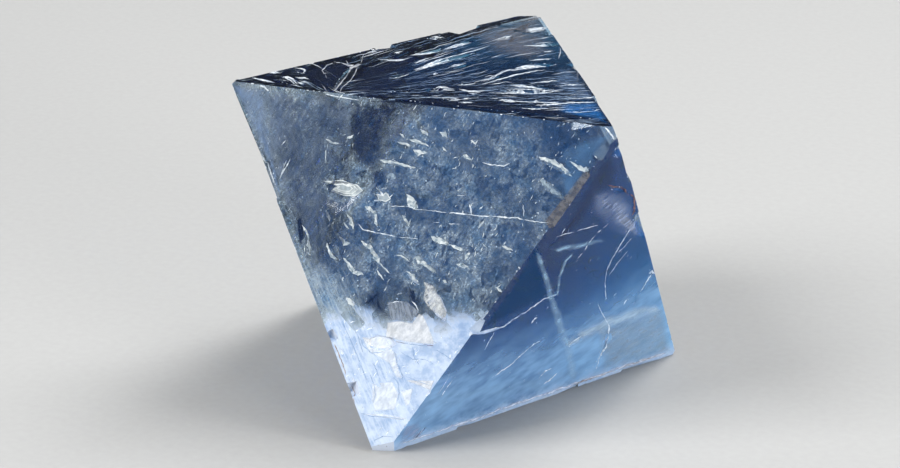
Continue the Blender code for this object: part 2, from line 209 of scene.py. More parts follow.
class Graph:
    """Adds nodes to a node tree, sets their values and joins their sockets."""

    def __init__(self, tree: bpy.types.NodeTree) -> None:
        """Keeps the tree that the nodes go into."""
        self.tree = tree

    def put(self, socket: bpy.types.NodeSocket, value: object) -> None:
        """Joins a socket to an output, or sets its value."""
        if isinstance(value, bpy.types.NodeSocket):
            self.tree.links.new(value, socket)
        else:
            socket.default_value = value

    def fill(self, node: bpy.types.Node, **sockets: object) -> None:
        """Sets or joins a node's inputs by name. There _ is a space, and in_2 is the third input."""
        for name, value in sockets.items():
            key = int(name[3:]) if name.startswith("in_") else name.replace("_", " ")
            self.put(node.inputs[key], value)

    def add(self, kind: str, settings: dict | None = None, **sockets: object) -> bpy.types.Node:
        """Adds a node.

        Args:
            kind: The node's type, without its ShaderNode prefix.
            settings: Properties of the node, by name.
            **sockets: A value or a socket to join for each input, as fill takes them.

        Returns:
            The new node.
        """
        node = self.tree.nodes.new("ShaderNode" + kind)
        for name, value in (settings or {}).items():
            setattr(node, name, value)
        self.fill(node, **sockets)
        return node

    def group(self, tree: bpy.types.NodeTree, place: object, **values: object) -> bpy.types.NodeSocket:
        """Returns the result of a node group at a place, with the given values of its inputs."""
        return self.add("Group", {"node_tree": tree}, Vector=place, **values).outputs[0]

    def noise(self, place: object, **values: float) -> bpy.types.NodeSocket:
        """Returns a smooth noise at a place, with the given scale, detail and roughness."""
        return self.add("TexNoise", Vector=place, **values).outputs["Fac"]

    def chances(self, cells: bpy.types.Node) -> bpy.types.bpy_prop_collection:
        """Returns the values that each cell of a pattern got by chance."""
        return self.add("SeparateColor", Color=cells.outputs["Color"]).outputs

    def on_face(self) -> bpy.types.NodeSocket:
        """Returns the place on the face, in millimetres from its middle."""
        return self.add("UVMap", {"uv_map": Attributes.PLACE.value}).outputs[0]

    def vector(self, operation: str, *values: object) -> bpy.types.Node:
        """Adds a sum on vectors."""
        sockets = {f"in_{index}": value for index, value in enumerate(values)}
        return self.add("VectorMath", {"operation": operation}, **sockets)

    def plain(
        self, operation: str, first: object, second: object = 0.0, third: object = 0.0
    ) -> bpy.types.NodeSocket:
        """Returns the result of a sum on two or three values."""
        node = self.add("Math", {"operation": operation}, in_0=first, in_1=second, in_2=third)
        return node.outputs[0]

    def over(self, first: object, second: object) -> bpy.types.NodeSocket:
        """Returns the share of two layers together, one over the other."""
        through = [self.plain("SUBTRACT", 1.0, share) for share in (first, second)]
        return self.plain("SUBTRACT", 1.0, self.plain("MULTIPLY", *through))

    def spread(self, value: object, low: object, high: object = 1.0) -> bpy.types.NodeSocket:
        """Returns low where a value is 0 and high where it is 1."""
        return self.add("MapRange", Value=value, To_Min=low, To_Max=high).outputs[0]

    def ramp(self, value: object, low: object, high: object) -> bpy.types.NodeSocket:
        """Returns a value that rises smoothly from 0 at low to 1 at high."""
        settings = {"interpolation_type": "SMOOTHSTEP"}
        return self.add("MapRange", settings, Value=value, From_Min=low, From_Max=high).outputs[0]

    def mixed_value(self, share: object, first: object, second: object) -> bpy.types.NodeSocket:
        """Returns a value between two values."""
        return self.add("Mix", {"data_type": "FLOAT"}, in_0=share, in_2=first, in_3=second).outputs[0]

    def mix(self, share: object, *tones: object) -> bpy.types.NodeSocket:
        """Returns a colour between two. Each is an output, a linear colour or a screen's colour."""
        first, second = (rgb(*tone) if isinstance(tone, tuple) and len(tone) == 3 else tone for tone in tones)
        return self.add("Mix", {"data_type": "RGBA"}, in_0=share, in_6=first, in_7=second).outputs[2]


def rgb(red: float, green: float, blue: float) -> tuple[float, float, float, float]:
    """Returns a linear colour from the 0 to 255 values that a screen shows."""
    parts = [part / 255 for part in (red, green, blue)]
    linear = [p / 12.92 if p <= 0.04045 else ((p + 0.055) / 1.055) ** 2.4 for p in parts]
    return (*linear, 1.0)


def new_material(name: str) -> tuple[bpy.types.Material, Graph, bpy.types.Node]:
    """Makes a material.

    Args:
        name: The material's name.

    Returns:
        The material, a graph on its node tree, and its Principled shader.
    """
    material = bpy.data.materials.new(name)
    material.use_nodes = True
    return material, Graph(material.node_tree), material.node_tree.nodes["Principled BSDF"]


def new_group(
    name: str, output: str, **inputs: float
) -> tuple[Graph, bpy.types.bpy_prop_collection, bpy.types.NodeSocket]:
    """Makes a shader node group that takes a place and some numbers, and gives one number.

    Args:
        name: The group's name.
        output: The result's name.
        **inputs: The usual value of each number that the group takes.

    Returns:
        A graph on the group's tree, the outputs of its input node, and its result's socket.
    """
    tree = bpy.data.node_groups.new(name, "ShaderNodeTree")
    tree.interface.new_socket("Vector", in_out="INPUT", socket_type="NodeSocketVector")
    for label, usual in inputs.items():
        socket = tree.interface.new_socket(label, in_out="INPUT", socket_type="NodeSocketFloat")
        socket.default_value = usual
    tree.interface.new_socket(output, in_out="OUTPUT", socket_type="NodeSocketFloat")
    given, result = (tree.nodes.new(kind) for kind in ("NodeGroupInput", "NodeGroupOutput"))
    return Graph(tree), given.outputs, result.inputs[output]


class Effects:
    """The node groups that several finishes share, each made once."""

    largest_speck = 0.17

    def __init__(self) -> None:
        """Makes the groups."""
        self.fibres = self.make_fibres()
        self.facets = self.make_facets()
        self.frost = self.make_frost()
        self.specks = self.make_specks()

    @staticmethod
    def turned(graph: Graph, place: object, turn: object, stretch: object) -> bpy.types.NodeSocket:
        """Returns a place turned about the face's normal, then squeezed across."""
        way = graph.add("VectorRotate", {"rotation_type": "Z_AXIS"}, Vector=place, Angle=turn)
        squeezed = graph.add("CombineXYZ", X=1.0, Y=stretch, Z=1.0)
        return graph.vector("MULTIPLY", way.outputs[0], squeezed.outputs[0]).outputs[0]

    def make_fibres(self) -> bpy.types.NodeTree:
        """Makes short strokes that run one way, as fine cleavage steps do.

        Returns:
            A group from a place in millimetres, a turn and a stretch to a mask.
        """
        graph, given, mask = new_group(
            "cleavage_fibres", "Mask", Scale=1.0, Turn=0.0, Stretch=4.0, Low=0.5, High=0.7
        )
        laid = self.turned(graph, given["Vector"], given["Turn"], given["Stretch"])
        noise = graph.noise(laid, Scale=given["Scale"], Detail=2.0, Roughness=0.65)
        graph.put(mask, graph.ramp(noise, given["Low"], given["High"]))
        return graph.tree

    def make_facets(self) -> bpy.types.NodeTree:
        """Makes angular blocks, each of its own tone, as steps on a cleavage face are.

        Returns:
            A group from a place in millimetres, a scale, a turn and a stretch to a tone.
        """
        graph, given, tone = new_group("cleavage_facets", "Tone", Scale=1.0, Turn=0.0, Stretch=1.0)
        laid = self.turned(graph, given["Vector"], given["Turn"], given["Stretch"])
        cells = graph.add("TexVoronoi", {"distance": "CHEBYCHEV"}, Vector=laid, Scale=given["Scale"])
        graph.put(tone, graph.chances(cells)[0])
        return graph.tree

    def make_frost(self) -> bpy.types.NodeTree:
        """Makes the bloom of a cleavage face: crumbly patches and fine grain, thick in places.

        Returns:
            A group from a place in millimetres, a turn and a least share to a mask.
        """
        graph, given, mask = new_group("cleavage_frost", "Mask", Turn=0.0, Least=0.35)
        place, turn = given["Vector"], given["Turn"]
        waver = graph.add("TexNoise", Vector=place, Scale=0.9, Detail=1.0).outputs["Color"]
        bent = graph.vector("ADD", place, waver).outputs[0]
        laid = self.turned(graph, bent, turn, 1.7)
        cells = graph.add("TexVoronoi", Vector=laid, Scale=0.55, Detail=1.0, Roughness=0.8)
        mottle = graph.ramp(graph.chances(cells)[0], 0.25, 0.8)
        fibre = graph.group(self.fibres, bent, Scale=1.5, Stretch=2.4, Turn=turn, Low=0.38, High=0.68)
        grain = graph.ramp(graph.noise(place, Scale=3.4, Detail=1.0, Roughness=0.8), 0.42, 0.62)
        rough = graph.mixed_value(0.5, mottle, fibre)
        woven = graph.plain("MULTIPLY", rough, graph.mixed_value(grain, 0.55, 1.1))
        patches = graph.noise(place, Scale=0.15, Detail=3.0, Roughness=0.65)
        share = graph.spread(graph.ramp(patches, 0.4, 0.6), given["Least"])
        graph.put(mask, graph.plain("MULTIPLY", woven, share))
        return graph.tree

    def make_specks(self) -> bpy.types.NodeTree:
        """Makes small crushed grains, strewn by chance and of unlike size.

        Returns:
            A group from a place in millimetres, a scale and a share of kept grains to a mask.
        """
        graph, given, mask = new_group("crushed_specks", "Mask", Scale=1.5, Kept=0.3)
        cells = graph.add("TexVoronoi", Vector=given["Vector"], Scale=given["Scale"])
        chance = graph.chances(cells)
        size = graph.plain("MULTIPLY", chance[1], self.largest_speck)
        dot = graph.plain("LESS_THAN", cells.outputs["Distance"], size)
        kept = graph.plain("LESS_THAN", chance[0], given["Kept"])
        graph.put(mask, graph.plain("MULTIPLY", dot, kept))
        return graph.tree


class Attributes(Enum):
    """What the meshes tell the materials."""

    PLACE = "face_millimetres"
    FRONT = "front_face"
    TOP = "top_face"
    RIGHT = "right_face"
    WORN = "worn"
    STAINED = "stained"
    HEART = "heart"
    GLINT = "glint"

    def read(self, graph: Graph) -> bpy.types.NodeSocket:
        """Returns the attribute's value in a material."""
        return graph.add("Attribute", {"attribute_name": self.value}).outputs["Fac"]


def outer_side(graph: Graph) -> bpy.types.NodeSocket:
    """Returns 1 on the outer side of a flake or veil, and 0 on its sunken sides."""
    return graph.plain("GREATER_THAN", Attributes.GLINT.read(graph), SUNK / 2)


@dataclass(frozen=True)
class FluoriteFinish:
    """Clear slate blue fluorite. Its faces let through more or less light, and some scatter it.

    Each pair of colours is the tint of one kind of face, dim and bright. The top face's dark blue tint is
    painted shade: it darkens that whole face.
    """

    clearness: float = 0.985
    absorption: Colour = (0.02, 0.59, 0.78)
    density: float = 145.0
    gloss: float = 0.15
    frosted_roughness: float = 0.12
    smooth_roughness: float = 0.04
    pale: tuple[Colour, Colour] = ((160, 192, 216), (200, 222, 236))
    clear: tuple[Colour, Colour] = ((40, 182, 246), (88, 198, 250))
    navy: tuple[Colour, Colour] = ((54, 82, 116), (80, 108, 140))
    worn: Colour = (206, 214, 224)

    def make(self) -> bpy.types.Material:
        """Makes the material of the crystal."""
        material, graph, shader = new_material("clear_slate_blue_fluorite")
        mask = graph.noise(graph.on_face(), Scale=0.8, Detail=2.0)
        right, top = Attributes.RIGHT.read(graph), Attributes.TOP.read(graph)
        pale, clear, navy = (graph.mix(mask, *pair) for pair in (self.pale, self.clear, self.navy))
        # Painted shade: the top face gets its own darker tint.
        toned = graph.mix(top, graph.mix(right, pale, clear), navy)
        smooth = graph.plain("MAXIMUM", right, top)
        bump = graph.add("Bump", Strength=0.04, Distance=0.05 * MM, Height=mask)
        graph.fill(
            shader,
            Base_Color=graph.mix(Attributes.WORN.read(graph), toned, self.worn),
            Roughness=graph.spread(smooth, self.frosted_roughness, self.smooth_roughness),
            IOR=FLUORITE_IOR,
            Transmission_Weight=self.clearness,
            Specular_IOR_Level=self.gloss,
            Normal=bump.outputs[0],
        )
        volume = graph.add("VolumeAbsorption", Color=(*self.absorption, 1.0), Density=self.density)
        graph.fill(material.node_tree.nodes["Material Output"], Volume=volume.outputs[0])
        return material


@dataclass(frozen=True)
class Haze:
    """A pale cloud that thickens across a face.

    Its start and end are in millimetres from the face's middle, along an angle in degrees. On the right face
    a haze is partly painted light: it lightens the face towards its lower part.
    """

    face: Attributes
    angle: float
    start: float
    end: float
    share: float

    def read(self, graph: Graph, place: object) -> bpy.types.NodeSocket:
        """Returns the haze's share at a place on its face."""
        turn = math.radians(self.angle)
        along = graph.vector("DOT_PRODUCT", place, (math.cos(turn), math.sin(turn), 0)).outputs["Value"]
        rise = graph.plain("MULTIPLY", graph.ramp(along, self.start, self.end), self.share)
        return graph.plain("MULTIPLY", rise, self.face.read(graph))


@dataclass(frozen=True)
class FrostFinish:
    """Pale bloom over the faces: thick near the front face's lower corner, in lines on top.

    The pale zone at the front face's lower corner is partly frost and partly painted light, the
    brightness that light reflected inside the crystal gives there. The chips near that corner are
    painted lighter as well, and the band along the right face's bottom edge is painted highlight.
    The zone's levels are in millimetres on the face, its corner is a pixel, and its edge is broken
    up by blocks and by a waver, in millimetres.
    """

    pale: Colour = (196, 214, 224)
    blue: Colour = (108, 144, 178)
    sky: Colour = (138, 182, 226)
    deep_sky: Colour = (40, 104, 176)
    milk: Colour = (200, 213, 230)
    dim_lit_milk: Colour = (140, 165, 200)
    chip_painted_light: Colour = (206, 216, 232)
    stain: Colour = (113, 112, 111)
    dark_stain: Colour = (80, 82, 89)
    stain_share: float = 0.68
    lit_milky_top: float = -10.7
    lit_milky_bottom: float = -13.9
    lit_milky_tilt: float = -0.14
    lit_milky_blocks: float = 2.4
    lit_milky_waver: float = 6.0
    lit_milky_share: float = 0.84
    lit_milky_corner: Pixel = (384.6, 454.3)
    lit_milky_reach: tuple[float, float] = (24 * MM, 19 * MM)
    stripe_way: tuple[float, float, float] = (-0.86, -0.5, 0)
    bloom_share: float = 0.46
    least_bloom: float = 0.03
    right_bloom: float = 0.04
    speck_share: float = 0.75
    worn_share: float = 0.26
    line_share: float = 0.5
    least_haze: float = 0.66
    rim_highlight_waver: float = 5.0
    # The right face's four hazes are partly painted light that lightens its lower part.
    hazes_and_light: tuple[Haze, ...] = (
        Haze(Attributes.RIGHT, -90, -8.0, 9.0, 0.66),
        Haze(Attributes.RIGHT, 0, -6.0, 12.0, 0.14),
        Haze(Attributes.RIGHT, -35, 4.0, 21.0, 0.4),
        Haze(Attributes.RIGHT, -150, 11.0, 24.0, 0.26),
        Haze(Attributes.FRONT, 150, 15.0, 27.0, 0.18),
        Haze(Attributes.FRONT, -120, 9.5, 14.0, 0.34),
    )
    # Painted highlight: a pale band along the right face's bottom edge.
    rim: Haze = Haze(Attributes.RIGHT, -90, 9.2, 11.6, 0.8)
    clearing: Haze = Haze(Attributes.FRONT, 29.5, 14.0, 22.0, 0.7)

    def make(self, effects: Effects) -> bpy.types.Material:
        """Makes the material of the frost."""
        material, graph, shader = new_material("pale_frost")
        place = graph.on_face()
        tone = graph.group(effects.facets, place, Scale=0.28, Turn=math.radians(40), Stretch=1.5)
        soft = graph.noise(place, Scale=0.5, Detail=4.0, Roughness=0.7)
        stripes = self.stripes(graph, effects, place)
        stained = Attributes.STAINED.read(graph)
        # Painted light, partly frost: the pale zone at the front face's lower corner.
        milky = self.milky(graph, place, tone, soft)
        # Painted highlight along the right face's bottom edge, wavered.
        wavered = graph.vector("MULTIPLY_ADD", soft, (0, self.rim_highlight_waver, 0), place).outputs[0]
        rim = self.rim.read(graph, wavered)
        bloom = self.bloom(graph, effects, place, stripes)
        bloom = graph.over(bloom, graph.plain("MAXIMUM", milky, rim))
        hazy_and_lit = self.hazy_and_lit(graph, effects, place)
        lines = self.lines(graph, effects, place)
        alpha = graph.mixed_value(Attributes.TOP.read(graph), graph.over(bloom, hazy_and_lit), lines)
        alpha = graph.mixed_value(stained, alpha, self.stain_share)
        mottle = graph.plain("MULTIPLY", graph.ramp(soft, 0.36, 0.64), 0.7)
        mixed = graph.plain("MULTIPLY_ADD", tone, 0.3, mottle)
        mixed = graph.mixed_value(graph.plain("MULTIPLY", stripes, 0.6), mixed, 1.0)
        # Painted light: the right face's frost runs from a deep blue glow where the haze is thin to pale
        # where it is thick.
        shaded = graph.mix(graph.ramp(hazy_and_lit, 0.02, 0.62), self.deep_sky, self.sky)
        frosted = graph.mix(mixed, self.blue, self.pale)
        frosted = graph.mix(Attributes.RIGHT.read(graph), frosted, shaded)
        # Painted light: chips near the front face's lower corner get a lighter colour, as if lit, though
        # their facets turn from the lamps.
        chipped = graph.plain("MULTIPLY", Attributes.WORN.read(graph), Attributes.FRONT.read(graph))
        milk = graph.mix(chipped, graph.mix(mixed, self.dim_lit_milk, self.milk), self.chip_painted_light)
        # The pale zone and the right face's bottom rim take the pale colour: painted light and painted
        # highlight.
        toned = graph.mix(graph.plain("MAXIMUM", graph.ramp(milky, 0.1, 0.6), rim), frosted, milk)
        grit = graph.ramp(graph.noise(place, Scale=1.6, Detail=4.0), 0.38, 0.6)
        toned = graph.mix(stained, toned, graph.mix(grit, self.dark_stain, self.stain))
        graph.fill(shader, Base_Color=toned, Alpha=alpha, Roughness=0.4, IOR=FLUORITE_IOR)
        return material

    def stripes(self, graph: Graph, effects: Effects, place: object) -> bpy.types.NodeSocket:
        """Returns the fine stripes beside the front face's left edge, which they run along."""
        fine = graph.group(
            effects.fibres, place, Scale=0.35, Turn=math.radians(58), Stretch=9.0, Low=0.42, High=0.62
        )
        along = graph.vector("DOT_PRODUCT", place, self.stripe_way).outputs["Value"]
        near = graph.plain("MULTIPLY", graph.ramp(along, 5.0, 10.0), Attributes.FRONT.read(graph))
        return graph.plain("MULTIPLY", fine, near)

    def bloom(
        self, graph: Graph, effects: Effects, place: object, stripes: object
    ) -> bpy.types.NodeSocket:
        """Returns the share of the fine frost on every face but the top one."""
        frost = graph.group(effects.frost, place, Turn=math.radians(-66))
        woven = graph.plain("MAXIMUM", frost, graph.plain("MULTIPLY", stripes, 0.4))
        fine = graph.plain("MULTIPLY_ADD", woven, self.bloom_share, self.least_bloom)
        specks = graph.plain("MULTIPLY", graph.group(effects.specks, place), self.speck_share)
        kept = graph.spread(Attributes.RIGHT.read(graph), 1.0, self.right_bloom)
        fine = graph.plain("MULTIPLY", graph.plain("MAXIMUM", fine, specks), kept)
        clear = graph.plain("SUBTRACT", 1.0, self.clearing.read(graph, place))
        worn = graph.plain("MULTIPLY", Attributes.WORN.read(graph), self.worn_share)
        return graph.plain("MAXIMUM", graph.plain("MULTIPLY", fine, clear), worn)

    def milky(self, graph: Graph, place: object, tone: object, soft: object) -> bpy.types.NodeSocket:
        """Returns the share of the pale zone at the front face's lower corner: partly frost, partly painted
        light.
        """
        parts = graph.add("SeparateXYZ", Vector=place).outputs
        slope = graph.plain("MULTIPLY_ADD", parts["X"], self.lit_milky_tilt, parts["Y"])
        broken = graph.plain("MULTIPLY", soft, self.lit_milky_waver)
        broken = graph.plain("MULTIPLY_ADD", tone, self.lit_milky_blocks, broken)
        mean = (self.lit_milky_blocks + self.lit_milky_waver) / 2
        level = graph.plain("ADD", broken, slope)
        zone = graph.ramp(level, self.lit_milky_top + mean, self.lit_milky_bottom + mean)
        zone = graph.plain("MULTIPLY", zone, Attributes.FRONT.read(graph))
        corner = SIGHT.on_face(*self.lit_milky_corner, Face.FRONT)
        spot = graph.add("TexCoord").outputs["Object"]
        away = graph.vector("DISTANCE", spot, corner).outputs["Value"]
        near = graph.plain(
            "MULTIPLY", graph.ramp(away, *self.lit_milky_reach), Attributes.WORN.read(graph)
        )
        return graph.plain("MULTIPLY", graph.plain("MAXIMUM", zone, near), self.lit_milky_share)

    def hazy_and_lit(self, graph: Graph, effects: Effects, place: object) -> bpy.types.NodeSocket:
        """Returns the share of the haze clouds, which are a little wispy. On the right face they are partly
        painted light.
        """
        wisps = graph.group(
            effects.fibres, place, Scale=0.24, Turn=math.radians(-20), Stretch=2.2, Low=0.25, High=0.75
        )
        share = 0.0
        for haze in self.hazes_and_light:
            share = graph.over(share, haze.read(graph, place))
        return graph.plain("MULTIPLY", share, graph.spread(wisps, self.least_haze))

    def lines(self, graph: Graph, effects: Effects, place: object) -> bpy.types.NodeSocket:
        """Returns the share of the top face's frost: fine lines that turn with its streaks."""
        near, far = (
            graph.group(
                effects.fibres, place, Scale=0.5, Turn=math.radians(turn), Stretch=16.0, Low=0.6, High=0.72
            )
            for turn in (-20, -62)
        )
        rise = graph.add("SeparateXYZ", Vector=place).outputs["Y"]
        share = graph.mixed_value(graph.ramp(rise, -9.0, -3.0), near, far)
        return graph.plain("MULTIPLY", share, self.line_share)


@dataclass(frozen=True)
class FlakeFinish:
    """Pearly fluorite, where a thin flake lifts: bright at its rim, a little clear inside."""

    name: str = "pearly_flake"
    rim: Colour = (208, 214, 214)
    heart: Colour = (146, 162, 172)
    solidness: float = 0.6
    roughness: float = 0.36

    def make(self, effects: Effects) -> bpy.types.Material:
        """Makes the material of flakes, streaks or cracks. It needs none of the shared effects."""
        material, graph, shader = new_material(self.name)
        place = graph.add("TexCoord").outputs["Object"]
        millimetres = graph.add("Mapping", Vector=place, Scale=(1 / MM, 1 / MM, 1 / MM)).outputs[0]
        tone = graph.noise(millimetres, Scale=1.4, Detail=6.0)
        glint = Attributes.GLINT.read(graph)
        dim = graph.plain("MULTIPLY", glint, 0.7)
        shaded = graph.mixed_value(graph.ramp(tone, 0.3, 0.7), dim, glint)
        cloudy = graph.plain("MULTIPLY", Attributes.HEART.read(graph), graph.ramp(tone, 0.7, 0.35))
        solid = graph.mixed_value(shaded, self.solidness, 1.0)
        solid = graph.mixed_value(cloudy, solid, self.solidness * 0.8)
        graph.fill(
            shader,
            Base_Color=graph.mix(shaded, self.heart, self.rim),
            Roughness=self.roughness,
            IOR=FLUORITE_IOR,
            Alpha=graph.plain("MULTIPLY", solid, outer_side(graph)),
        )
        return material


@dataclass(frozen=True)
class VeilFinish:
    """A thin cloud or shadow in the crystal, with no edge to be seen.

    Its grain has a scale, a stretch and an angle in degrees. Least is the part of its share
    that it keeps where the grain is thin.
    """

    name: str
    tone: Colour
    share: float = 0.5
    grain: float = 0.5
    stretch: float = 1.0
    turn: float = 0.0
    least: float = 0.45
    shadow: float = 0.88

    def make(self, effects: Effects) -> bpy.types.Material:
        """Makes the material of a veil."""
        material, graph, shader = new_material(self.name)
        turn = math.radians(-self.turn)
        thick = graph.group(
            effects.fibres,
            graph.on_face(),
            Scale=self.grain,
            Stretch=self.stretch,
            Turn=turn,
            Low=0.3,
            High=0.7,
        )
        heart = graph.ramp(Attributes.HEART.read(graph), 0.0, 1.0)
        uneven = graph.spread(thick, self.least * self.share, self.share)
        share = graph.plain("MULTIPLY", uneven, outer_side(graph))
        darker = tuple(part * self.shadow for part in self.tone)
        graph.fill(
            shader,
            Base_Color=graph.mix(thick, darker, self.tone),
            Roughness=0.35,
            IOR=FLUORITE_IOR,
            Specular_IOR_Level=0.15,
            Alpha=graph.plain("MULTIPLY", heart, share),
        )
        return material


@dataclass(frozen=True)
class FloorFinish:
    """Plain pale card, very slightly uneven."""

    dark: Colour = (153, 153, 152)
    light: Colour = (161, 161, 160)

    def make(self) -> bpy.types.Material:
        """Makes the material of the floor."""
        material, graph, shader = new_material("pale_card")
        noise = graph.noise(graph.add("TexCoord").outputs["Object"], Scale=900.0, Detail=4.0)
        graph.fill(shader, Base_Color=graph.mix(noise, self.dark, self.light), Roughness=0.8)
        return material


def new_object(name: str, bm: bmesh.types.BMesh, material: bpy.types.Material) -> bpy.types.Object:
    """Turns a bmesh into an object of the scene.

    Args:
        name: The object's name.
        bm: Its mesh, which is freed.
        material: Its finish.

    Returns:
        The new object.
    """
    mesh = bpy.data.meshes.new(name)
    bm.to_mesh(mesh)
    bm.free()
    mesh.materials.append(material)
    made = bpy.data.objects.new(name, mesh)
    bpy.context.scene.collection.objects.link(made)
    return made


def add_piece(name: str, bm: bmesh.types.BMesh, material: bpy.types.Material) -> bpy.types.Object:
    """Turns a bmesh into a piece of the crystal.

    Args:
        name: The piece's name.
        bm: Its mesh, which is freed.
        material: Its finish.

    Returns:
        The new piece.
    """
    piece = new_object(name, bm, material)
    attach(piece, "root")
    return piece


def write_places(bm: bmesh.types.BMesh, to_face: Matrix) -> None:
    """Writes where each corner lies on the face, in millimetres, so that grain runs along it.

    Args:
        bm: The mesh that the places are written to.
        to_face: The move from the scene's frame to the face's own.
    """
    places = bm.loops.layers.uv.new(Attributes.PLACE.value)
    for polygon in bm.faces:
        for loop in polygon.loops:
            loop[places].uv = (to_face @ loop.vert.co / MM).to_2d()


def extrude(bm: bmesh.types.BMesh, faces: list[bmesh.types.BMFace], way: Vector) -> list:
    """Gives faces a body.

    Args:
        bm: The mesh that the faces belong to.
        faces: The faces, which stay where they are.
        way: How far and which way the copies of their corners move.

    Returns:
        The moved corners.
    """
    made = bmesh.ops.extrude_face_region(bm, geom=faces)["geom"]
    moved = [item for item in made if isinstance(item, bmesh.types.BMVert)]
    bmesh.ops.translate(bm, verts=moved, vec=way)
    return moved


def ranks(parts: Iterable, place: Callable) -> dict[object, int]:
    """Returns each part's rank when the parts are sorted by place."""
    return {part: rank for rank, part in enumerate(sorted(parts, key=place))}


def settle(bm: bmesh.types.BMesh) -> None:
    """Sorts a mesh's corners, edges and faces by their places, into the same order each run.

    Args:
        bm: The mesh. Its shape stays as it is.
    """
    bm.verts.sort(key=ranks(bm.verts, lambda vert: vert.co[:]).get)
    for parts in (bm.edges, bm.faces):
        parts.sort(key=ranks(parts, lambda part: sorted(vert.co[:] for vert in part.verts)).get)


class Surface:
    """The crystal's real surface, with its scars. Every flake and veil lies on it."""

    reach = 4 * MM
    steepest = 0.4

    def __init__(self, crystal: bpy.types.Object) -> None:
        """Keeps a search tree of the crystal's faces."""
        body = bmesh.new()
        body.from_mesh(crystal.data)
        self.tree = BVHTree.FromBMesh(body)
        body.free()

    def under(self, face: Face, point: Vector) -> tuple[Vector, Vector] | None:
        """Returns the surface's place and normal under a point of a face, if it looks its way."""
        start = point + face.normal * self.reach
        hit, normal, _, _ = self.tree.ray_cast(start, -face.normal, 2 * self.reach)
        return (hit, normal) if hit is not None and normal.dot(face.normal) > self.steepest else None

    def carries(self, face: Face, point: Vector) -> bool:
        """Tells whether the surface lies under a point of a face's plane, and looks its way."""
        return self.under(face, point) is not None

    def lay(self, face: Face, point: Vector, rise: float) -> Vector:
        """Returns a point moved onto the surface.

        Args:
            face: The face that the point belongs to.
            point: A point near the face's plane.
            rise: How far above the surface the point comes to lie, in metres.

        Returns:
            The point on the surface, or on its nearest part where none lies below.
        """
        place, normal = self.under(face, point) or self.tree.find_nearest(point)[:2]
        return place + normal * rise


class Ground(Enum):
    """What the stops of a flake are measured in."""

    PIXELS = "pixels of the photograph"
    MILLIMETRES = "millimetres on the face"


@dataclass(frozen=True)
class Ribbon:
    """A thin flake or crack on a face: the places that its line runs through.

    Each stop is a place and the ribbon's width there. The heights are in millimetres.
    """

    stops: tuple[Stop, ...]
    rise: float = 0.068
    crown: float = 0.025
    depth: float = 0.1
    least_width: float = 0.3

    def along(self, reach: float) -> tuple[Vector, Vector, float]:
        """Returns the place, the way and the width at a number of stops from the start."""
        last = len(self.stops) - 1
        below = min(last - 1, max(0, math.floor(reach)))
        share = reach - below
        (x0, y0, w0), (x1, y1, w1) = self.stops[below], self.stops[below + 1]
        start, way = Vector((x0, y0)), Vector((x1 - x0, y1 - y0))
        width = max(self.least_width, w0 + (w1 - w0) * share)
        return start + way * share, way.normalized(), width


@dataclass(frozen=True)
class Plate:
    """A broad flake or a veil on a face: its outline, with its heights in millimetres."""

    outline: tuple[Pixel, ...]
    layers: int = 1
    fade: float = 0.14
    rise: float = 0.068
    crown: float = 0.02
    depth: float = 0.1
    cuts: int = 4
    shrinkage: float = 0.24


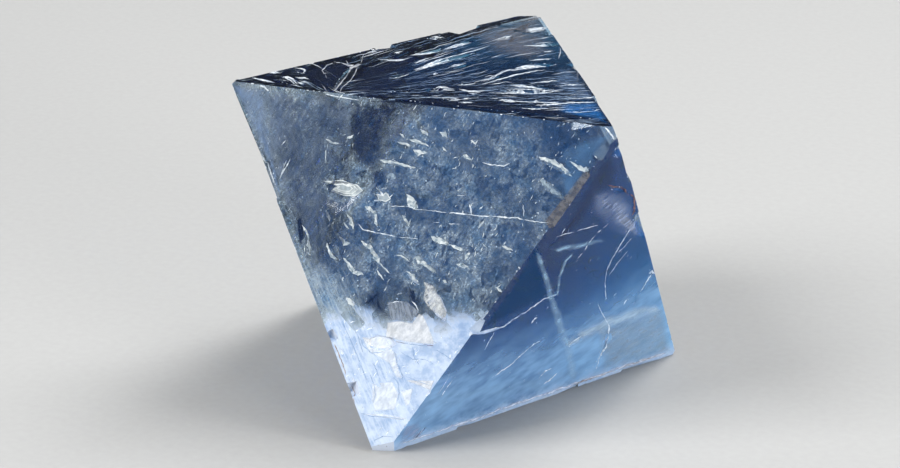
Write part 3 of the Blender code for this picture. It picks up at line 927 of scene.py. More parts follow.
@dataclass
class Flakes:
    """Thin flakes of one finish on one face, each a closed sliver.

    Spacing and strand width are in the ground's own unit. Splinters is how many lie beside each
    ribbon, jags are the least and the largest share of half its width that a side reaches, and
    tip is the share of its width that it has at its ends.
    """

    name: str
    face: Face
    ribbons: tuple[Ribbon, ...] = ()
    plates: tuple[Plate, ...] = ()
    ground: Ground = Ground.PIXELS
    spacing: float = 2.2
    jags: tuple[float, float] = (0.35, 1.15)
    strand_width: float = 0.0
    splinters: int = 0
    grain_angle: float = 65.0
    soft: bool = False
    swell: float = 1.0
    tip: float = 0.12
    seed: int = 1
    made: bmesh.types.BMesh = field(init=False, repr=False)
    surface: Surface = field(init=False, repr=False)
    heart: object = field(init=False, repr=False)
    glint: object = field(init=False, repr=False)

    def build(self, surface: Surface, finish: bpy.types.Material) -> bpy.types.Object:
        """Builds every flake on the crystal's surface and dresses them in one finish."""
        self.surface = surface
        self.made = bmesh.new()
        self.heart = self.made.verts.layers.float.new(Attributes.HEART.value)
        self.glint = self.made.faces.layers.float.new(Attributes.GLINT.value)
        rng = random.Random(self.seed)
        for ribbon in self.ribbons:
            for strand in self.strands_of(ribbon, rng):
                self.add_ribbon(strand, rng)
            for _ in range(self.splinters):
                self.add_ribbon(self.splinter_of(ribbon, rng), rng)
        for plate in self.plates:
            self.add_plate(plate, rng)
        bmesh.ops.recalc_face_normals(self.made, faces=self.made.faces[:])
        write_places(self.made, self.face.placing.inverted())
        settle(self.made)
        return add_piece(self.name, self.made, finish)

    def on_plane(self, x: float, y: float) -> Vector:
        """Returns the point of the face's plane at a place."""
        if self.ground is Ground.PIXELS:
            return SIGHT.on_face(x, y, self.face)
        return self.face.placing @ Vector((x * MM, y * MM, 0))

    def strands_of(self, ribbon: Ribbon, rng: random.Random, parts: int = 6) -> list[Ribbon]:
        """Splits a ribbon into strands.

        Args:
            ribbon: The ribbon.
            rng: The source of chance.
            parts: How many parts each strand's line has.

        Returns:
            The ribbon itself, or thin lines side by side that start and end by chance.
        """
        if not self.strand_width:
            return [ribbon]
        widest = max(width for _, _, width in ribbon.stops)
        count = max(2, round(widest / self.strand_width))
        last = len(ribbon.stops) - 1
        found = []
        for index in range(count):
            aside = (index + rng.uniform(0.2, 0.8)) / count - 0.5
            start, end = rng.uniform(-0.1, 0.34) * last, rng.uniform(0.66, 1.1) * last
            thick = self.strand_width * rng.uniform(0.7, 1.5)
            line = []
            for step in range(parts + 1):
                place, run, width = ribbon.along(start + (end - start) * step / parts)
                x, y = place + Vector((-run.y, run.x)) * aside * width
                line.append((x, y, thick * math.sin(math.pi * (step + 0.3) / (parts + 0.6))))
            found.append(Ribbon(tuple(line)))
        return found

    def splinter_of(self, ribbon: Ribbon, rng: random.Random) -> Ribbon:
        """Returns a small splinter beside a ribbon, along the grain of the face."""
        x, y, width = rng.choice(ribbon.stops)
        away = self.spacing * rng.uniform(0.4, 2.2)
        turn = rng.uniform(0, math.tau)
        x += math.cos(turn) * away
        y += math.sin(turn) * away
        run = math.radians(self.grain_angle + rng.gauss(0, 25))
        down = -1 if self.ground is Ground.PIXELS else 1
        half = self.spacing * rng.uniform(0.25, 0.9)
        step = Vector((math.cos(run) * half, down * math.sin(run) * half))
        thick = max(0.2 * width, 0.2 * self.spacing) * rng.uniform(0.4, 1.0)
        start, end = (x - step.x, y - step.y, thick * 0.4), (x + step.x, y + step.y, thick * 0.3)
        return Ribbon((start, (x, y, thick), end))

    def stops_along(self, ribbon: Ribbon, rng: random.Random) -> list[Stop]:
        """Returns close stops along a ribbon, as far as the surface carries them."""
        found = []
        for (x0, y0, w0), (x1, y1, w1) in zip(ribbon.stops, ribbon.stops[1:]):
            count = max(1, round(math.hypot(x1 - x0, y1 - y0) / self.spacing))
            for index in range(count):
                share = index / count
                width = (w0 + (w1 - w0) * share) * self.swell
                found.append((x0 + (x1 - x0) * share, y0 + (y1 - y0) * share, width))
        found.append(ribbon.stops[-1])
        jitter = self.spacing * 0.12
        kept, run = [], []
        for x, y, width in found:
            x, y = x + rng.uniform(-jitter, jitter), y + rng.uniform(-jitter, jitter)
            run = [*run, (x, y, width)] if self.surface.carries(self.face, self.on_plane(x, y)) else []
            kept = max(kept, run, key=len)
        return kept

    def add_ribbon(self, ribbon: Ribbon, rng: random.Random) -> None:
        """Adds a ribbon: a grid laid along its line, crowned, with jagged sides and a body."""
        stops = self.stops_along(ribbon, rng)
        rows = len(stops) - 1
        if rows < 1:
            return
        grid = bmesh.ops.create_grid(self.made, x_segments=rows, y_segments=2, size=0.5)["verts"]
        for vert in grid:
            row = round((vert.co.x + 0.5) * rows)
            side = vert.co.y * 2
            x, y, width = stops[row]
            ahead, behind = stops[min(row + 1, rows)], stops[max(row - 1, 0)]
            run = Vector((ahead[0] - behind[0], ahead[1] - behind[1])).normalized()
            width *= self.tip if row in (0, rows) else 1.0
            middle = width * rng.uniform(-0.12, 0.12)
            across = side * width / 2 * rng.uniform(*self.jags) if abs(side) > 0.5 else middle
            rise = ribbon.rise + ribbon.crown * (1 - abs(side)) * rng.uniform(0.3, 1)
            point = self.on_plane(x - run.y * across, y + run.x * across)
            vert.co = self.surface.lay(self.face, point, rise * MM)
            vert[self.heart] = float(self.soft and abs(side) < 0.5 and 0 < row < rows)
        faces = list({face for vert in grid for face in vert.link_faces})
        faces.sort(key=lambda face: face.calc_center_median()[:])
        for face in faces:
            face[self.glint] = rng.random()
        self.sink(faces, ribbon.rise + ribbon.depth)

    def add_plate(self, plate: Plate, rng: random.Random) -> None:
        """Adds a plate: thin layers of one outline, each smaller than the last."""
        middle = sum((Vector(corner) for corner in plate.outline), Vector((0, 0))) / len(plate.outline)
        for layer in range(plate.layers):
            size = 1 - plate.shrinkage * layer
            places = [middle + (Vector(corner) - middle) * size for corner in plate.outline]
            corners = [self.made.verts.new(self.on_plane(place.x, place.y)) for place in places]
            top = bmesh.ops.contextual_create(self.made, geom=corners)["faces"]
            inner = top[0]
            rims = bmesh.ops.inset_individual(self.made, faces=top, thickness=plate.fade * MM)["faces"]
            for vert in inner.verts:
                vert[self.heart] = 1.0
            for face in rims:
                face[self.glint] = 1.0
            inner[self.glint] = rng.uniform(0.2, 0.7)
            parts = bmesh.ops.triangulate(self.made, faces=[inner])["faces"]
            edges = list({edge for face in (*parts, *rims) for edge in face.edges})
            cut = bmesh.ops.subdivide_edges(self.made, edges=edges, cuts=plate.cuts, use_grid_fill=True)
            faces = [item for item in cut["geom"] if isinstance(item, bmesh.types.BMFace)]
            for vert in {vert for face in faces for vert in face.verts}:
                rise = plate.rise * (1 + layer) + plate.crown * vert[self.heart]
                vert.co = self.surface.lay(self.face, vert.co, rise * MM)
            self.sink(faces, plate.rise * (1 + layer) + plate.depth)

    def sink(self, faces: list[bmesh.types.BMFace], depth: float) -> None:
        """Gives the faces of a flake a body that reaches down into the crystal."""
        lower = extrude(self.made, faces, -self.face.normal * depth * MM)
        for polygon in {polygon for vert in lower for polygon in vert.link_faces}:
            polygon[self.glint] = SUNK


@dataclass
class FlakeField:
    """Small flakes strewn over a face by chance, along its grain.

    Lengths and widths are in millimetres, and the grain's angle on the face in degrees.
    """

    name: str
    face: Face
    count: int
    grain_angle: float = 65.0
    spread: float = 18.0
    lengths: tuple[float, float] = (0.25, 1.1)
    widths: tuple[float, float] = (0.06, 0.2)
    reach: float = 28.5
    lowest: float = -30.0
    highest: float = 30.0
    seed: int = 1

    def build(self, surface: Surface, finish: bpy.types.Material) -> bpy.types.Object:
        """Builds the flakes and dresses them."""
        rng = random.Random(self.seed)
        lines = []
        while len(lines) < self.count:
            x, y = rng.uniform(-self.reach, self.reach), rng.uniform(self.lowest, self.highest)
            if surface.carries(self.face, self.face.placing @ Vector((x * MM, y * MM, 0))):
                lines.append(self.sliver(x, y, rng))
        flakes = Flakes(
            self.name, self.face, tuple(lines), ground=Ground.MILLIMETRES, spacing=0.35, seed=self.seed + 1
        )
        return flakes.build(surface, finish)

    def sliver(self, x: float, y: float, rng: random.Random) -> Ribbon:
        """Returns one flake at a place on the face."""
        run = math.radians(self.grain_angle + rng.gauss(0, self.spread))
        length = rng.uniform(*self.lengths) * rng.uniform(0.4, 1)
        width = rng.uniform(*self.widths)
        bend = rng.gauss(0, 0.35)
        stops = []
        for share, thick in ((-0.5, 0.25), (-0.1, 1.0), (0.2, 0.7), (0.5, 0.2)):
            angle = run + bend * share
            reach = length * share
            stops.append((x + math.cos(angle) * reach, y + math.sin(angle) * reach, width * thick))
        return Ribbon(tuple(stops), 0.03, 0.015, 0.08)


@dataclass
class FlowLines:
    """Hair-fine steps on the top face, which fan out from the foot of its vein. Sizes in pixels.

    They start within across and down. They are close together to the right of the vein's foot
    and below crowded, and elsewhere only a share of them is kept.
    """

    name: str
    count: int
    lengths: tuple[float, float] = (10, 60)
    widths: tuple[float, float] = (0.2, 0.55)
    step: float = 6.0
    vein_foot: Pixel = (335, 97)
    across: tuple[float, float] = (240, 612)
    down: tuple[float, float] = (14, 126)
    crowded: float = 78
    kept: float = 0.5
    waver: float = 0.14
    seed: int = 1

    def slope(self, x: float, y: float) -> float:
        """Returns how far down a step runs for each pixel that it runs to the right."""
        foot_x, foot_y = self.vein_foot
        if x < foot_x:
            return 0.15 + 0.4 * min(1, max(0, (x - foot_x + 65) / 50))
        far = min(1, max(0, (foot_y - y) / 30))
        late = min(1, max(0, (x - foot_x - 145) / 100))
        return -0.02 - 0.27 * far * (1 - 0.75 * late)

    def build(self, surface: Surface, finish: bpy.types.Material) -> bpy.types.Object:
        """Builds the lines and dresses them."""
        rng = random.Random(self.seed)
        lines = []
        while len(lines) < self.count:
            x, y = rng.uniform(*self.across), rng.uniform(*self.down)
            carried = surface.carries(Face.TOP, SIGHT.on_face(x, y, Face.TOP))
            close = x > self.vein_foot[0] and y > self.crowded
            if carried and (close or rng.random() < self.kept):
                lines.append(self.line(x, y, rng))
        flakes = Flakes(
            self.name, Face.TOP, tuple(lines), spacing=self.step, jags=(0.7, 1.1), seed=self.seed + 1
        )
        return flakes.build(surface, finish)

    def line(self, x: float, y: float, rng: random.Random) -> Ribbon:
        """Returns one line, followed from a place to the right, with a slight waver."""
        count = max(2, round(rng.uniform(*self.lengths) / self.step))
        width = rng.uniform(*self.widths)
        stops = []
        for index in range(count + 1):
            stops.append((x, y, width * (0.3 + math.sin(math.pi * index / count))))
            y += self.slope(x, y) * self.step + rng.gauss(0, self.waver)
            x += self.step
        return Ribbon(tuple(stops), 0.03, 0.01, 0.08)


@dataclass
class Crystal:
    """The octahedron itself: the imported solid's shape, with its faces told apart."""

    name: str = "crystal"
    merge_distance: float = 0.0001 * MM
    flat_angle: float = math.radians(0.02)
    worn_tolerance: float = 0.9995
    stain_ends: tuple[Pixel, Pixel] = ((595, 160), (545, 232))
    stain_reach: float = 1.3 * MM

    def build(self, finish: bpy.types.Material) -> bpy.types.Object:
        """Builds the crystal on a copy of the solid's mesh and dresses it."""
        bm = bmesh.new()
        bm.from_mesh(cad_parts[NODE].data)
        bmesh.ops.remove_doubles(bm, verts=bm.verts[:], dist=self.merge_distance)
        bmesh.ops.dissolve_limit(
            bm, angle_limit=self.flat_angle, verts=bm.verts[:], edges=bm.edges[:]
        )
        piece = add_piece(self.name, bm, finish)
        self.mark_faces(piece.data)
        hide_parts(NODE)
        return piece

    def mark_faces(self, mesh: bpy.types.Mesh) -> None:
        """Writes which face each polygon belongs to, how worn it is and where it lies on it."""
        mesh.uv_layers.new(name=Attributes.PLACE.value)
        kinds = {Attributes.FRONT: Face.FRONT, Attributes.TOP: Face.TOP, Attributes.RIGHT: Face.RIGHT}
        for kind in (*kinds, Attributes.WORN, Attributes.STAINED):
            mesh.attributes.new(kind.value, "FLOAT", "FACE")
        worn = mesh.attributes[Attributes.WORN.value].data
        places = mesh.uv_layers[Attributes.PLACE.value].data
        stained = mesh.attributes[Attributes.STAINED.value].data
        ends = [SIGHT.on_face(*end, Face.RIGHT) for end in self.stain_ends]
        to_face = {face: face.placing.inverted() for face in Face}
        for polygon in mesh.polygons:
            nearest, share = intersect_point_line(polygon.center, *ends)
            close = 0 < share < 1 and (nearest - polygon.center).length < self.stain_reach
            face = min(Face, key=lambda face: (face.middle - polygon.center).dot(face.normal))
            kept = face.normal.dot(polygon.normal) > self.worn_tolerance
            worn[polygon.index].value = 0.0 if kept else 1.0
            stained[polygon.index].value = float(close and not kept)
            for kind, owner in kinds.items():
                mesh.attributes[kind.value].data[polygon.index].value = float(face is owner)
            for loop in polygon.loop_indices:
                place = to_face[face] @ mesh.vertices[mesh.loops[loop].vertex_index].co / MM
                places[loop].uv = (place.x, place.y)


@dataclass
class Frost:
    """The bloom over the crystal: its own shape again, a hair's breadth further out."""

    name: str = "frost"
    lift: float = 0.02 * MM

    def build(self, crystal: bpy.types.Object, finish: bpy.types.Material) -> bpy.types.Object:
        """Builds the frost on the crystal's mesh, with its attributes, and dresses it."""
        bm = bmesh.new()
        bm.from_mesh(crystal.data)
        bm.normal_update()
        for vert in bm.verts:
            vert.co += vert.normal * self.lift
        return add_piece(self.name, bm, finish)


@dataclass
class EdgeCrumbs:
    """Tiny crushed bits along the crystal's sharp edges.

    Sizes are in millimetres, and lengths and flatness are shares of a bit's size.
    """

    name: str = "edge_crumbs"
    count: int = 620
    least_angle: float = math.radians(35)
    sizes: tuple[float, float] = (0.02, 0.08)
    lengths: tuple[float, float] = (0.8, 3.2)
    flatness: float = 0.6
    seed: int = 31

    def build(self, crystal: bpy.types.Object, finish: bpy.types.Material) -> bpy.types.Object:
        """Builds the crumbs on the crystal's own edges, and dresses them."""
        rng = random.Random(self.seed)
        body = bmesh.new()
        body.from_mesh(crystal.data)
        sharp = [edge for edge in body.edges if edge.calc_face_angle_signed(0) > self.least_angle]
        lengths = [edge.calc_length() for edge in sharp]
        bm = bmesh.new()
        glint = bm.faces.layers.float.new(Attributes.GLINT.value)
        for edge in rng.choices(sharp, weights=lengths, k=self.count):
            start, end = (vert.co for vert in edge.verts)
            place = start.lerp(end, rng.random())
            size = rng.uniform(*self.sizes) * MM
            along = (end - start).to_track_quat("X", "Z").to_matrix().to_4x4()
            shape = Matrix.Diagonal((size * rng.uniform(*self.lengths), size, size * self.flatness, 1))
            turn = Matrix.Rotation(rng.uniform(0, math.tau), 4, "X")
            made = bmesh.ops.create_icosphere(
                bm, subdivisions=1, radius=1, matrix=Matrix.Translation(place) @ along @ turn @ shape
            )["verts"]
            tone = rng.random()
            for face in {face for vert in made for face in vert.link_faces}:
                face[glint] = tone
        body.free()
        bmesh.ops.recalc_face_normals(bm, faces=bm.faces[:])
        return add_piece(self.name, bm, finish)


@dataclass
class RestingBloom:
    """The clouded layer just over the face that the crystal rests on, seen through its sides."""

    name: str = "resting_bloom"
    inset: float = 0.9 * MM
    height: float = 0.35 * MM
    thickness: float = 0.12 * MM
    plane: float = 60 * MM

    def build(self, finish: bpy.types.Material) -> bpy.types.Object:
        """Builds the layer from a plane that the side faces trim, and dresses it."""
        bm = bmesh.new()
        heart = bm.verts.layers.float.new(Attributes.HEART.value)
        bmesh.ops.create_grid(bm, x_segments=1, y_segments=1, size=self.plane)
        bmesh.ops.translate(bm, verts=bm.verts[:], vec=(0, 0, self.height))
        for face in Face:
            if abs(face.normal.z) < 0.9:
                geometry = bm.verts[:] + bm.edges[:] + bm.faces[:]
                edge = face.middle - face.normal * self.inset
                bmesh.ops.bisect_plane(
                    bm, geom=geometry, plane_co=edge, plane_no=face.normal, clear_outer=True
                )
        for vert in bm.verts:
            vert[heart] = 1.0
        extrude(bm, bm.faces[:], Vector((0, 0, self.thickness)))
        bmesh.ops.recalc_face_normals(bm, faces=bm.faces[:])
        write_places(bm, Matrix())
        return add_piece(self.name, bm, finish)


def ribbons(*lines: tuple[Stop, ...]) -> tuple[Ribbon, ...]:
    """Returns a ribbon for each line of stops."""
    return tuple(Ribbon(line) for line in lines)


def clouds(fade: float, *outlines: tuple[Pixel, ...], rise: float = 0.047) -> tuple[Plate, ...]:
    """Returns a thin plate for each veil's outline, almost level with the face.

    Args:
        fade: How far in from its outline a veil reaches its full share, in millimetres.
        *outlines: The veils' outlines in pixels.
        rise: How far above the face the first veil lies, in millimetres. Each next one lies higher.

    Returns:
        The plates, in the order of their outlines.
    """
    return tuple(
        Plate(outline, fade=fade, rise=rise + VEIL_STEP * index, crown=0.001, depth=0.05)
        for index, outline in enumerate(outlines)
    )


# The marks that the photograph shows, by face and kind. Each stop of a ribbon is a pixel and the
# ribbon's width there, in pixels. Each corner of a plate's or veil's outline is a pixel.
FRONT_FLAKES = ribbons(
    ((326, 139, 3), (333, 143, 2.4), (343, 144, 1.8)),
    ((347, 138.5, 2.4), (354, 135, 3)),
    ((326, 150, 1.2), (326, 164, 1.2)),
    ((380, 160, 2.4), (388, 161.5, 2.8), (397.2, 162.8, 2.4), (405, 165.5, 2.4), (415.6, 168, 1.2)),
    ((397.2, 142, 2), (404, 143.5, 3), (411, 146, 1.5)),
    ((408.7, 139.3, 2), (417.9, 141.6, 3), (424, 144, 2), (429.4, 146.7, 1)),
    ((413.3, 149.6, 3), (419, 153, 6), (427, 153, 2)),
    ((420.2, 129, 2), (423.6, 132.4, 3), (428.2, 135.3, 1.5)),
    ((400.7, 134, 3), (404, 138, 2)),
    ((439.7, 131.8, 2), (444, 134.5, 4.6), (446.6, 137, 2)),
    ((442.6, 146.7, 2), (446.6, 152, 3)),
    ((462.7, 154.8, 2.6), (467, 157.5, 3.2), (471.8, 160, 2.6)),
    ((453.5, 157.6, 1.4), (458, 157.6, 1.4)),
    ((470.7, 140.4, 1.5), (475.3, 143.3, 2.4), (478.7, 139.9, 1.5)),
    ((406.4, 194, 2), (410, 200, 7), (414, 206, 8), (418, 208, 3)),
    ((365, 206, 4), (370, 209.5, 3.6), (374.5, 212, 3.6), (375.5, 220, 2.8), (377.5, 227, 1.6)),
    ((347.5, 214, 1.6), (350.5, 221, 4), (353.4, 229, 2.4)),
    ((343.5, 222, 1.6), (349, 229, 2)),
    ((326, 210, 1.6), (330, 221, 4)),
    ((302.3, 225, 1.2), (308, 235, 2.4), (308.6, 245, 4), (310.3, 256, 2.4)),
    ((304.6, 245, 2), (304.6, 252, 2)),
    ((327, 242.5, 2.4), (328.7, 248.5, 1.8), (332, 256.5, 3.2), (339.6, 261.6, 1.6)),
    ((339, 236, 2.4), (342.5, 240.5, 4), (344.5, 243.4, 3.4), (350.5, 243.2, 1.8)),
    ((343.5, 257.5, 1.6), (349.5, 265.5, 3.2), (354, 272.5, 5), (364, 274.5, 1.6)),
    ((361, 240.5, 1.4), (371, 248.5, 4.6), (376, 256.5, 5), (379, 262.5, 2.4), (389.5, 273, 1)),
    ((370, 240.5, 1.6), (372.5, 242.5, 3.2)),
    ((376.5, 269, 1.4), (384, 280.5, 2)),
    ((401.8, 214.5, 2), (405.5, 220.5, 2.2), (409.8, 227, 2.4)),
    ((411.4, 218.6, 1), (409, 225.5, 1.2)),
    ((396, 254.7, 1.2), (403.3, 257, 1.6), (410, 262, 1.4)),
    ((414.8, 256.5, 5), (419.4, 262, 5), (425, 264.5, 3.4), (432, 269, 4.4), (436.6, 273, 1.6)),
    ((407, 271, 2.4), (412.5, 276, 4.2), (417.7, 282, 3)),
    ((431.7, 236.3, 3.6), (438, 239.5, 5.4), (444.3, 242, 4.4), (448.9, 243.8, 1.8)),
    ((444.6, 236.5, 1.2), (445.6, 241.5, 2.4)),
    ((450, 244.3, 1.6), (457, 248, 3), (463.8, 250.6, 1.8)),
    ((465, 260, 4.6), (467, 256.5, 4.2), (470.7, 252.4, 1.8)),
    ((456.7, 264, 2.4), (462, 265.5, 5), (468, 267.3, 2.4)),
    ((442.4, 280, 2.4), (448.7, 283.4, 3.4)),
    ((478.7, 228.3, 2), (481.5, 224, 3.2), (484.5, 219, 2)),
    ((501.7, 246, 1.4), (507, 248.5, 2.8), (513.2, 250.6, 1.4)),
    ((482.2, 243.2, 1), (486.8, 247.8, 1.4)),
    ((496, 286.5, 1.4), (500, 289.5, 3), (502, 292.3, 1.6)),
    ((346, 298, 3), (350.5, 302, 4), (353.4, 306, 1.8), (355, 310.4, 1.2)),
    ((538.8, 157.3, 2), (548, 160.5, 4.6), (556, 164, 5.4), (565, 170, 5), (572, 176.4, 1.4)),
    ((570.4, 161, 1.2), (577, 166.5, 2.2), (583, 169, 5.6), (588.5, 171, 4)),
)

CLEAR_FLAKES = ribbons(
    ((540, 178, 3), (546, 186, 6.4), (553, 191, 6), (564, 199, 2.4)),
    ((387, 176, 4), (391.5, 177, 10), (396.4, 178, 4)),
)

FRONT_CRACKS = ribbons(
    ((390.7, 205.9, 0.7), (408, 206.5, 0.9), (417, 209.4, 1), (428.6, 210.3, 0.7), (447, 212.8, 0.9)),
    ((449, 212.9, 0.9), (460.7, 213.4, 1.4), (472, 214.6, 1.2), (482, 216.4, 1.3), (492, 216.6, 1.2)),
    ((492, 216.4, 1.2), (503, 217, 2.4), (512, 217.6, 3), (518, 217.6, 1.8), (524, 220, 0.8)),
    ((524, 220, 0.8), (535, 221.5, 0.9), (549, 223, 0.6)),
    ((462.7, 210, 1), (463.2, 214.2, 1.4)),
    ((469.6, 204, 0.8), (470.6, 209, 2.2), (472, 214.6, 2)),
    ((523, 204, 0.6), (523.8, 211, 1.2), (523.5, 216.8, 1.2)),
    ((358, 223, 0.8), (363, 229.5, 1.2), (373.5, 232.3, 1.5), (387, 234.6, 0.9), (397.6, 237, 1.1)),
    ((399, 237.2, 1), (406.8, 237.5, 0.7), (418, 239, 0.5)),
    ((433, 222.6, 0.7), (440, 222.6, 0.9)),
    ((449, 223.7, 0.7), (460.7, 224.3, 0.9)),
    ((456.7, 195.6, 0.7), (465.3, 195.6, 0.9)),
    ((482.2, 162.2, 1), (490.2, 164.5, 1.4), (504, 166.3, 1.8), (510.9, 162.8, 0.7)),
    ((290.8, 158.4, 1), (285, 169, 1.6), (279.4, 179, 1)),
    ((286.3, 160.7, 0.7), (280.5, 178, 0.9)),
    ((281.7, 145.8, 0.8), (286.3, 140, 1.4)),
    ((384.4, 198, 2.6), (380, 192, 1.4), (375.8, 186.4, 0.6)),
    ((386, 199, 2.4), (390.6, 197, 1.2), (394, 193.4, 0.6)),
    ((383, 198, 2), (377, 195.5, 1), (372.9, 193.3, 0.6)),
    ((384, 199.5, 2), (378, 200.8, 1), (373.5, 200.2, 0.5)),
    ((385, 197, 1.6), (381.5, 194, 1), (380.4, 191.3, 0.5)),
    ((387.2, 304.6, 0.6), (395.3, 301.8, 0.9), (404.5, 301.8, 0.6)),
    ((411.4, 300.4, 0.8), (414.8, 304, 1.6), (419, 311, 1)),
)

CRUSHED_SPOTS = ribbons(
    ((258, 148, 1.6), (262, 156, 3.4), (266, 164, 2.4), (270, 174, 3), (274, 184, 1.6)),
    ((260, 86, 1.4), (264, 86.6, 2.6), (269, 91, 1.6)),
    ((325.7, 94.2, 0.5), (333, 96, 1), (338, 97, 0.5), (346, 98.4, 1.2), (359.6, 100.4, 0.6)),
    ((586, 122, 1.4), (594, 123.4, 2), (603, 124.6, 1.6)),
    ((603, 126, 1), (608, 131, 1.6), (612, 137, 1.4), (614, 141, 0.8)),
)

# The streaks are steps on the top face; their pale colour is painted highlight, where the steps catch the
# light.
TOP_STREAKS = ribbons(
    ((410.6, 72, 1.4), (420, 69, 3), (430, 65.4, 3.6), (439.6, 61.2, 3.8), (456, 57.4, 3.6),
     (472.3, 53.4, 2)),
    ((388.4, 80, 0.8), (400, 77, 1.6), (410.6, 74, 1)),
    ((412, 55.8, 1.2), (430, 52.5, 1.8), (446, 49.4, 1.2)),
    ((446, 49.4, 1), (457, 46, 2.4), (471.4, 42.4, 1.8)),
    ((379.3, 59.7, 0.8), (392, 61, 1.4), (402, 60.6, 1.8), (410.6, 58.4, 0.8)),
    ((393.6, 53.8, 1), (403.4, 51.8, 1.6)),
    ((413.2, 63.6, 1.2), (422, 61, 2), (430.5, 59.2, 1)),
    ((448, 67.7, 1), (456, 66, 1.8), (464.4, 63.8, 1)),
    ((433, 74.3, 2), (438.3, 73.6, 1.4)),
    ((495.8, 40.3, 1.4), (504, 38.4, 2.4), (512.8, 36.4, 2)),
    ((524.6, 29.8, 2.6), (535, 28.4, 4.2), (546.8, 27.2, 2)),
    ((523.3, 46.2, 1), (535, 45.2, 2.2), (548, 44.2, 3), (560.5, 43.6, 2)),
    ((541.6, 52.7, 1.2), (552, 51.4, 1.2)),
    ((531, 60.5, 0.8), (552, 59.2, 1.2)),
    ((469.7, 84, 1), (488, 80.2, 1.6), (503.7, 71.7, 1.2), (514, 69.4, 1.6)),
    ((512, 70, 1.6), (522, 68.4, 3.4), (537.6, 65.8, 4.6), (552, 65.1, 2)),
    ((482.7, 84.7, 0.8), (511.5, 76.2, 1.2), (535, 71, 1), (556, 69.4, 0.8)),
    ((456.6, 86, 0.8), (466, 84.8, 1.8), (476.2, 83.4, 1)),
    ((430.5, 91.3, 1.6), (439.6, 88.7, 4.2), (452.7, 90, 2)),
    ((452.7, 88.7, 1), (469.7, 92, 2), (488, 91.3, 1.2)),
    ((489.3, 92.6, 2), (503.7, 92, 4.6), (519.3, 91.3, 5.2), (535, 92, 4.4), (544.2, 92.4, 3),
     (558.6, 90.6, 1)),
    ((512.8, 86, 1), (522, 86.8, 2), (532.4, 87.3, 2.2), (548, 89.3, 1)),
    ((532.4, 84, 0.8), (548, 82, 1.4), (563.8, 79.5, 0.8)),
    ((498.4, 100.4, 1.4), (507, 101, 2.6), (516.7, 101.7, 1.6)),
    ((516.7, 101.4, 1.6), (537.6, 101.7, 3), (550, 102.2, 2), (557.2, 102.4, 1)),
    ((443.5, 101, 1), (455, 100.4, 2), (463, 99, 2), (478.8, 97.8, 1)),
    ((459.2, 103, 1), (472.3, 103, 1.4)),
    ((532.4, 105.6, 0.8), (545, 105.4, 1.8), (558.6, 104.3, 1.4), (574.2, 103, 0.8)),
    ((522, 109, 1), (534, 109.6, 1.4), (546.8, 109.2, 0.8)),
    ((566.4, 112.8, 1), (577, 112.4, 2), (587.3, 111.5, 1.2), (603, 109.6, 1.6)),
    ((563.8, 85.4, 1), (576.9, 85.4, 1.4)),
    ((567.7, 103, 0.8), (583, 103, 1.2), (599, 103, 0.8)),
    ((583.4, 98.5, 0.8), (596.5, 98, 1.2)),
    ((250, 77.6, 1), (264.2, 80.6, 2.6), (281.2, 83.9, 1.6)),
    ((282.5, 77.3, 1.4), (287, 78, 2.6), (291.4, 80, 4), (297.5, 85, 3)),
    ((296.2, 77.6, 1), (303, 78.4, 1.6), (308.7, 79.6, 1)),
    ((298.2, 81.4, 1.2), (304, 82.6, 2), (309.3, 84, 1)),
    ((268, 73.4, 1.4), (275, 73, 2.2), (282.5, 72.6, 1.4)),
    ((295, 68.6, 1.2), (300, 68.8, 1.6), (305.6, 70.6, 1.6), (304, 72.6, 1.2), (299, 72.4, 1)),
    ((430.5, 38.4, 1.4), (437, 38, 2.2), (443.5, 38.4, 1.2)),
    ((364, 54, 1), (372, 52.4, 1.4), (379, 51, 1)),
)

TOP_VEIN = ribbons(
    ((332, 93.7, 1.2), (340, 84.5, 1.4), (346.6, 75.4, 1.6), (350.5, 68.8, 1.6), (356, 66, 2.4),
     (361, 64.6, 1.6)),
    ((340, 93.7, 0.5), (341.3, 88.4, 0.6), (350.5, 81.2, 0.7), (355.7, 72.7, 0.7), (357.6, 67.5, 0.9)),
    ((321.7, 84.5, 0.4), (324.3, 88.4, 0.5), (328.3, 92.6, 0.5)),
    ((334, 62.4, 0.7), (342.6, 63.6, 1), (347.9, 66, 1.6), (354, 65.4, 1.4)),
    ((345.9, 60.6, 0.6), (348.5, 65.6, 1.2)),
    ((333.5, 63.4, 0.5), (327, 65.6, 0.7), (322.4, 71, 0.8), (324, 74.4, 1), (328.3, 73.4, 0.7)),
    ((325, 75, 0.5), (327, 79.4, 0.6)),
    ((361, 63.6, 0.7), (362.6, 58, 0.6), (363.6, 54.6, 0.5)),
    ((558.6, 59, 1.2), (560.4, 53, 0.9), (559.9, 48, 0.6)),
)

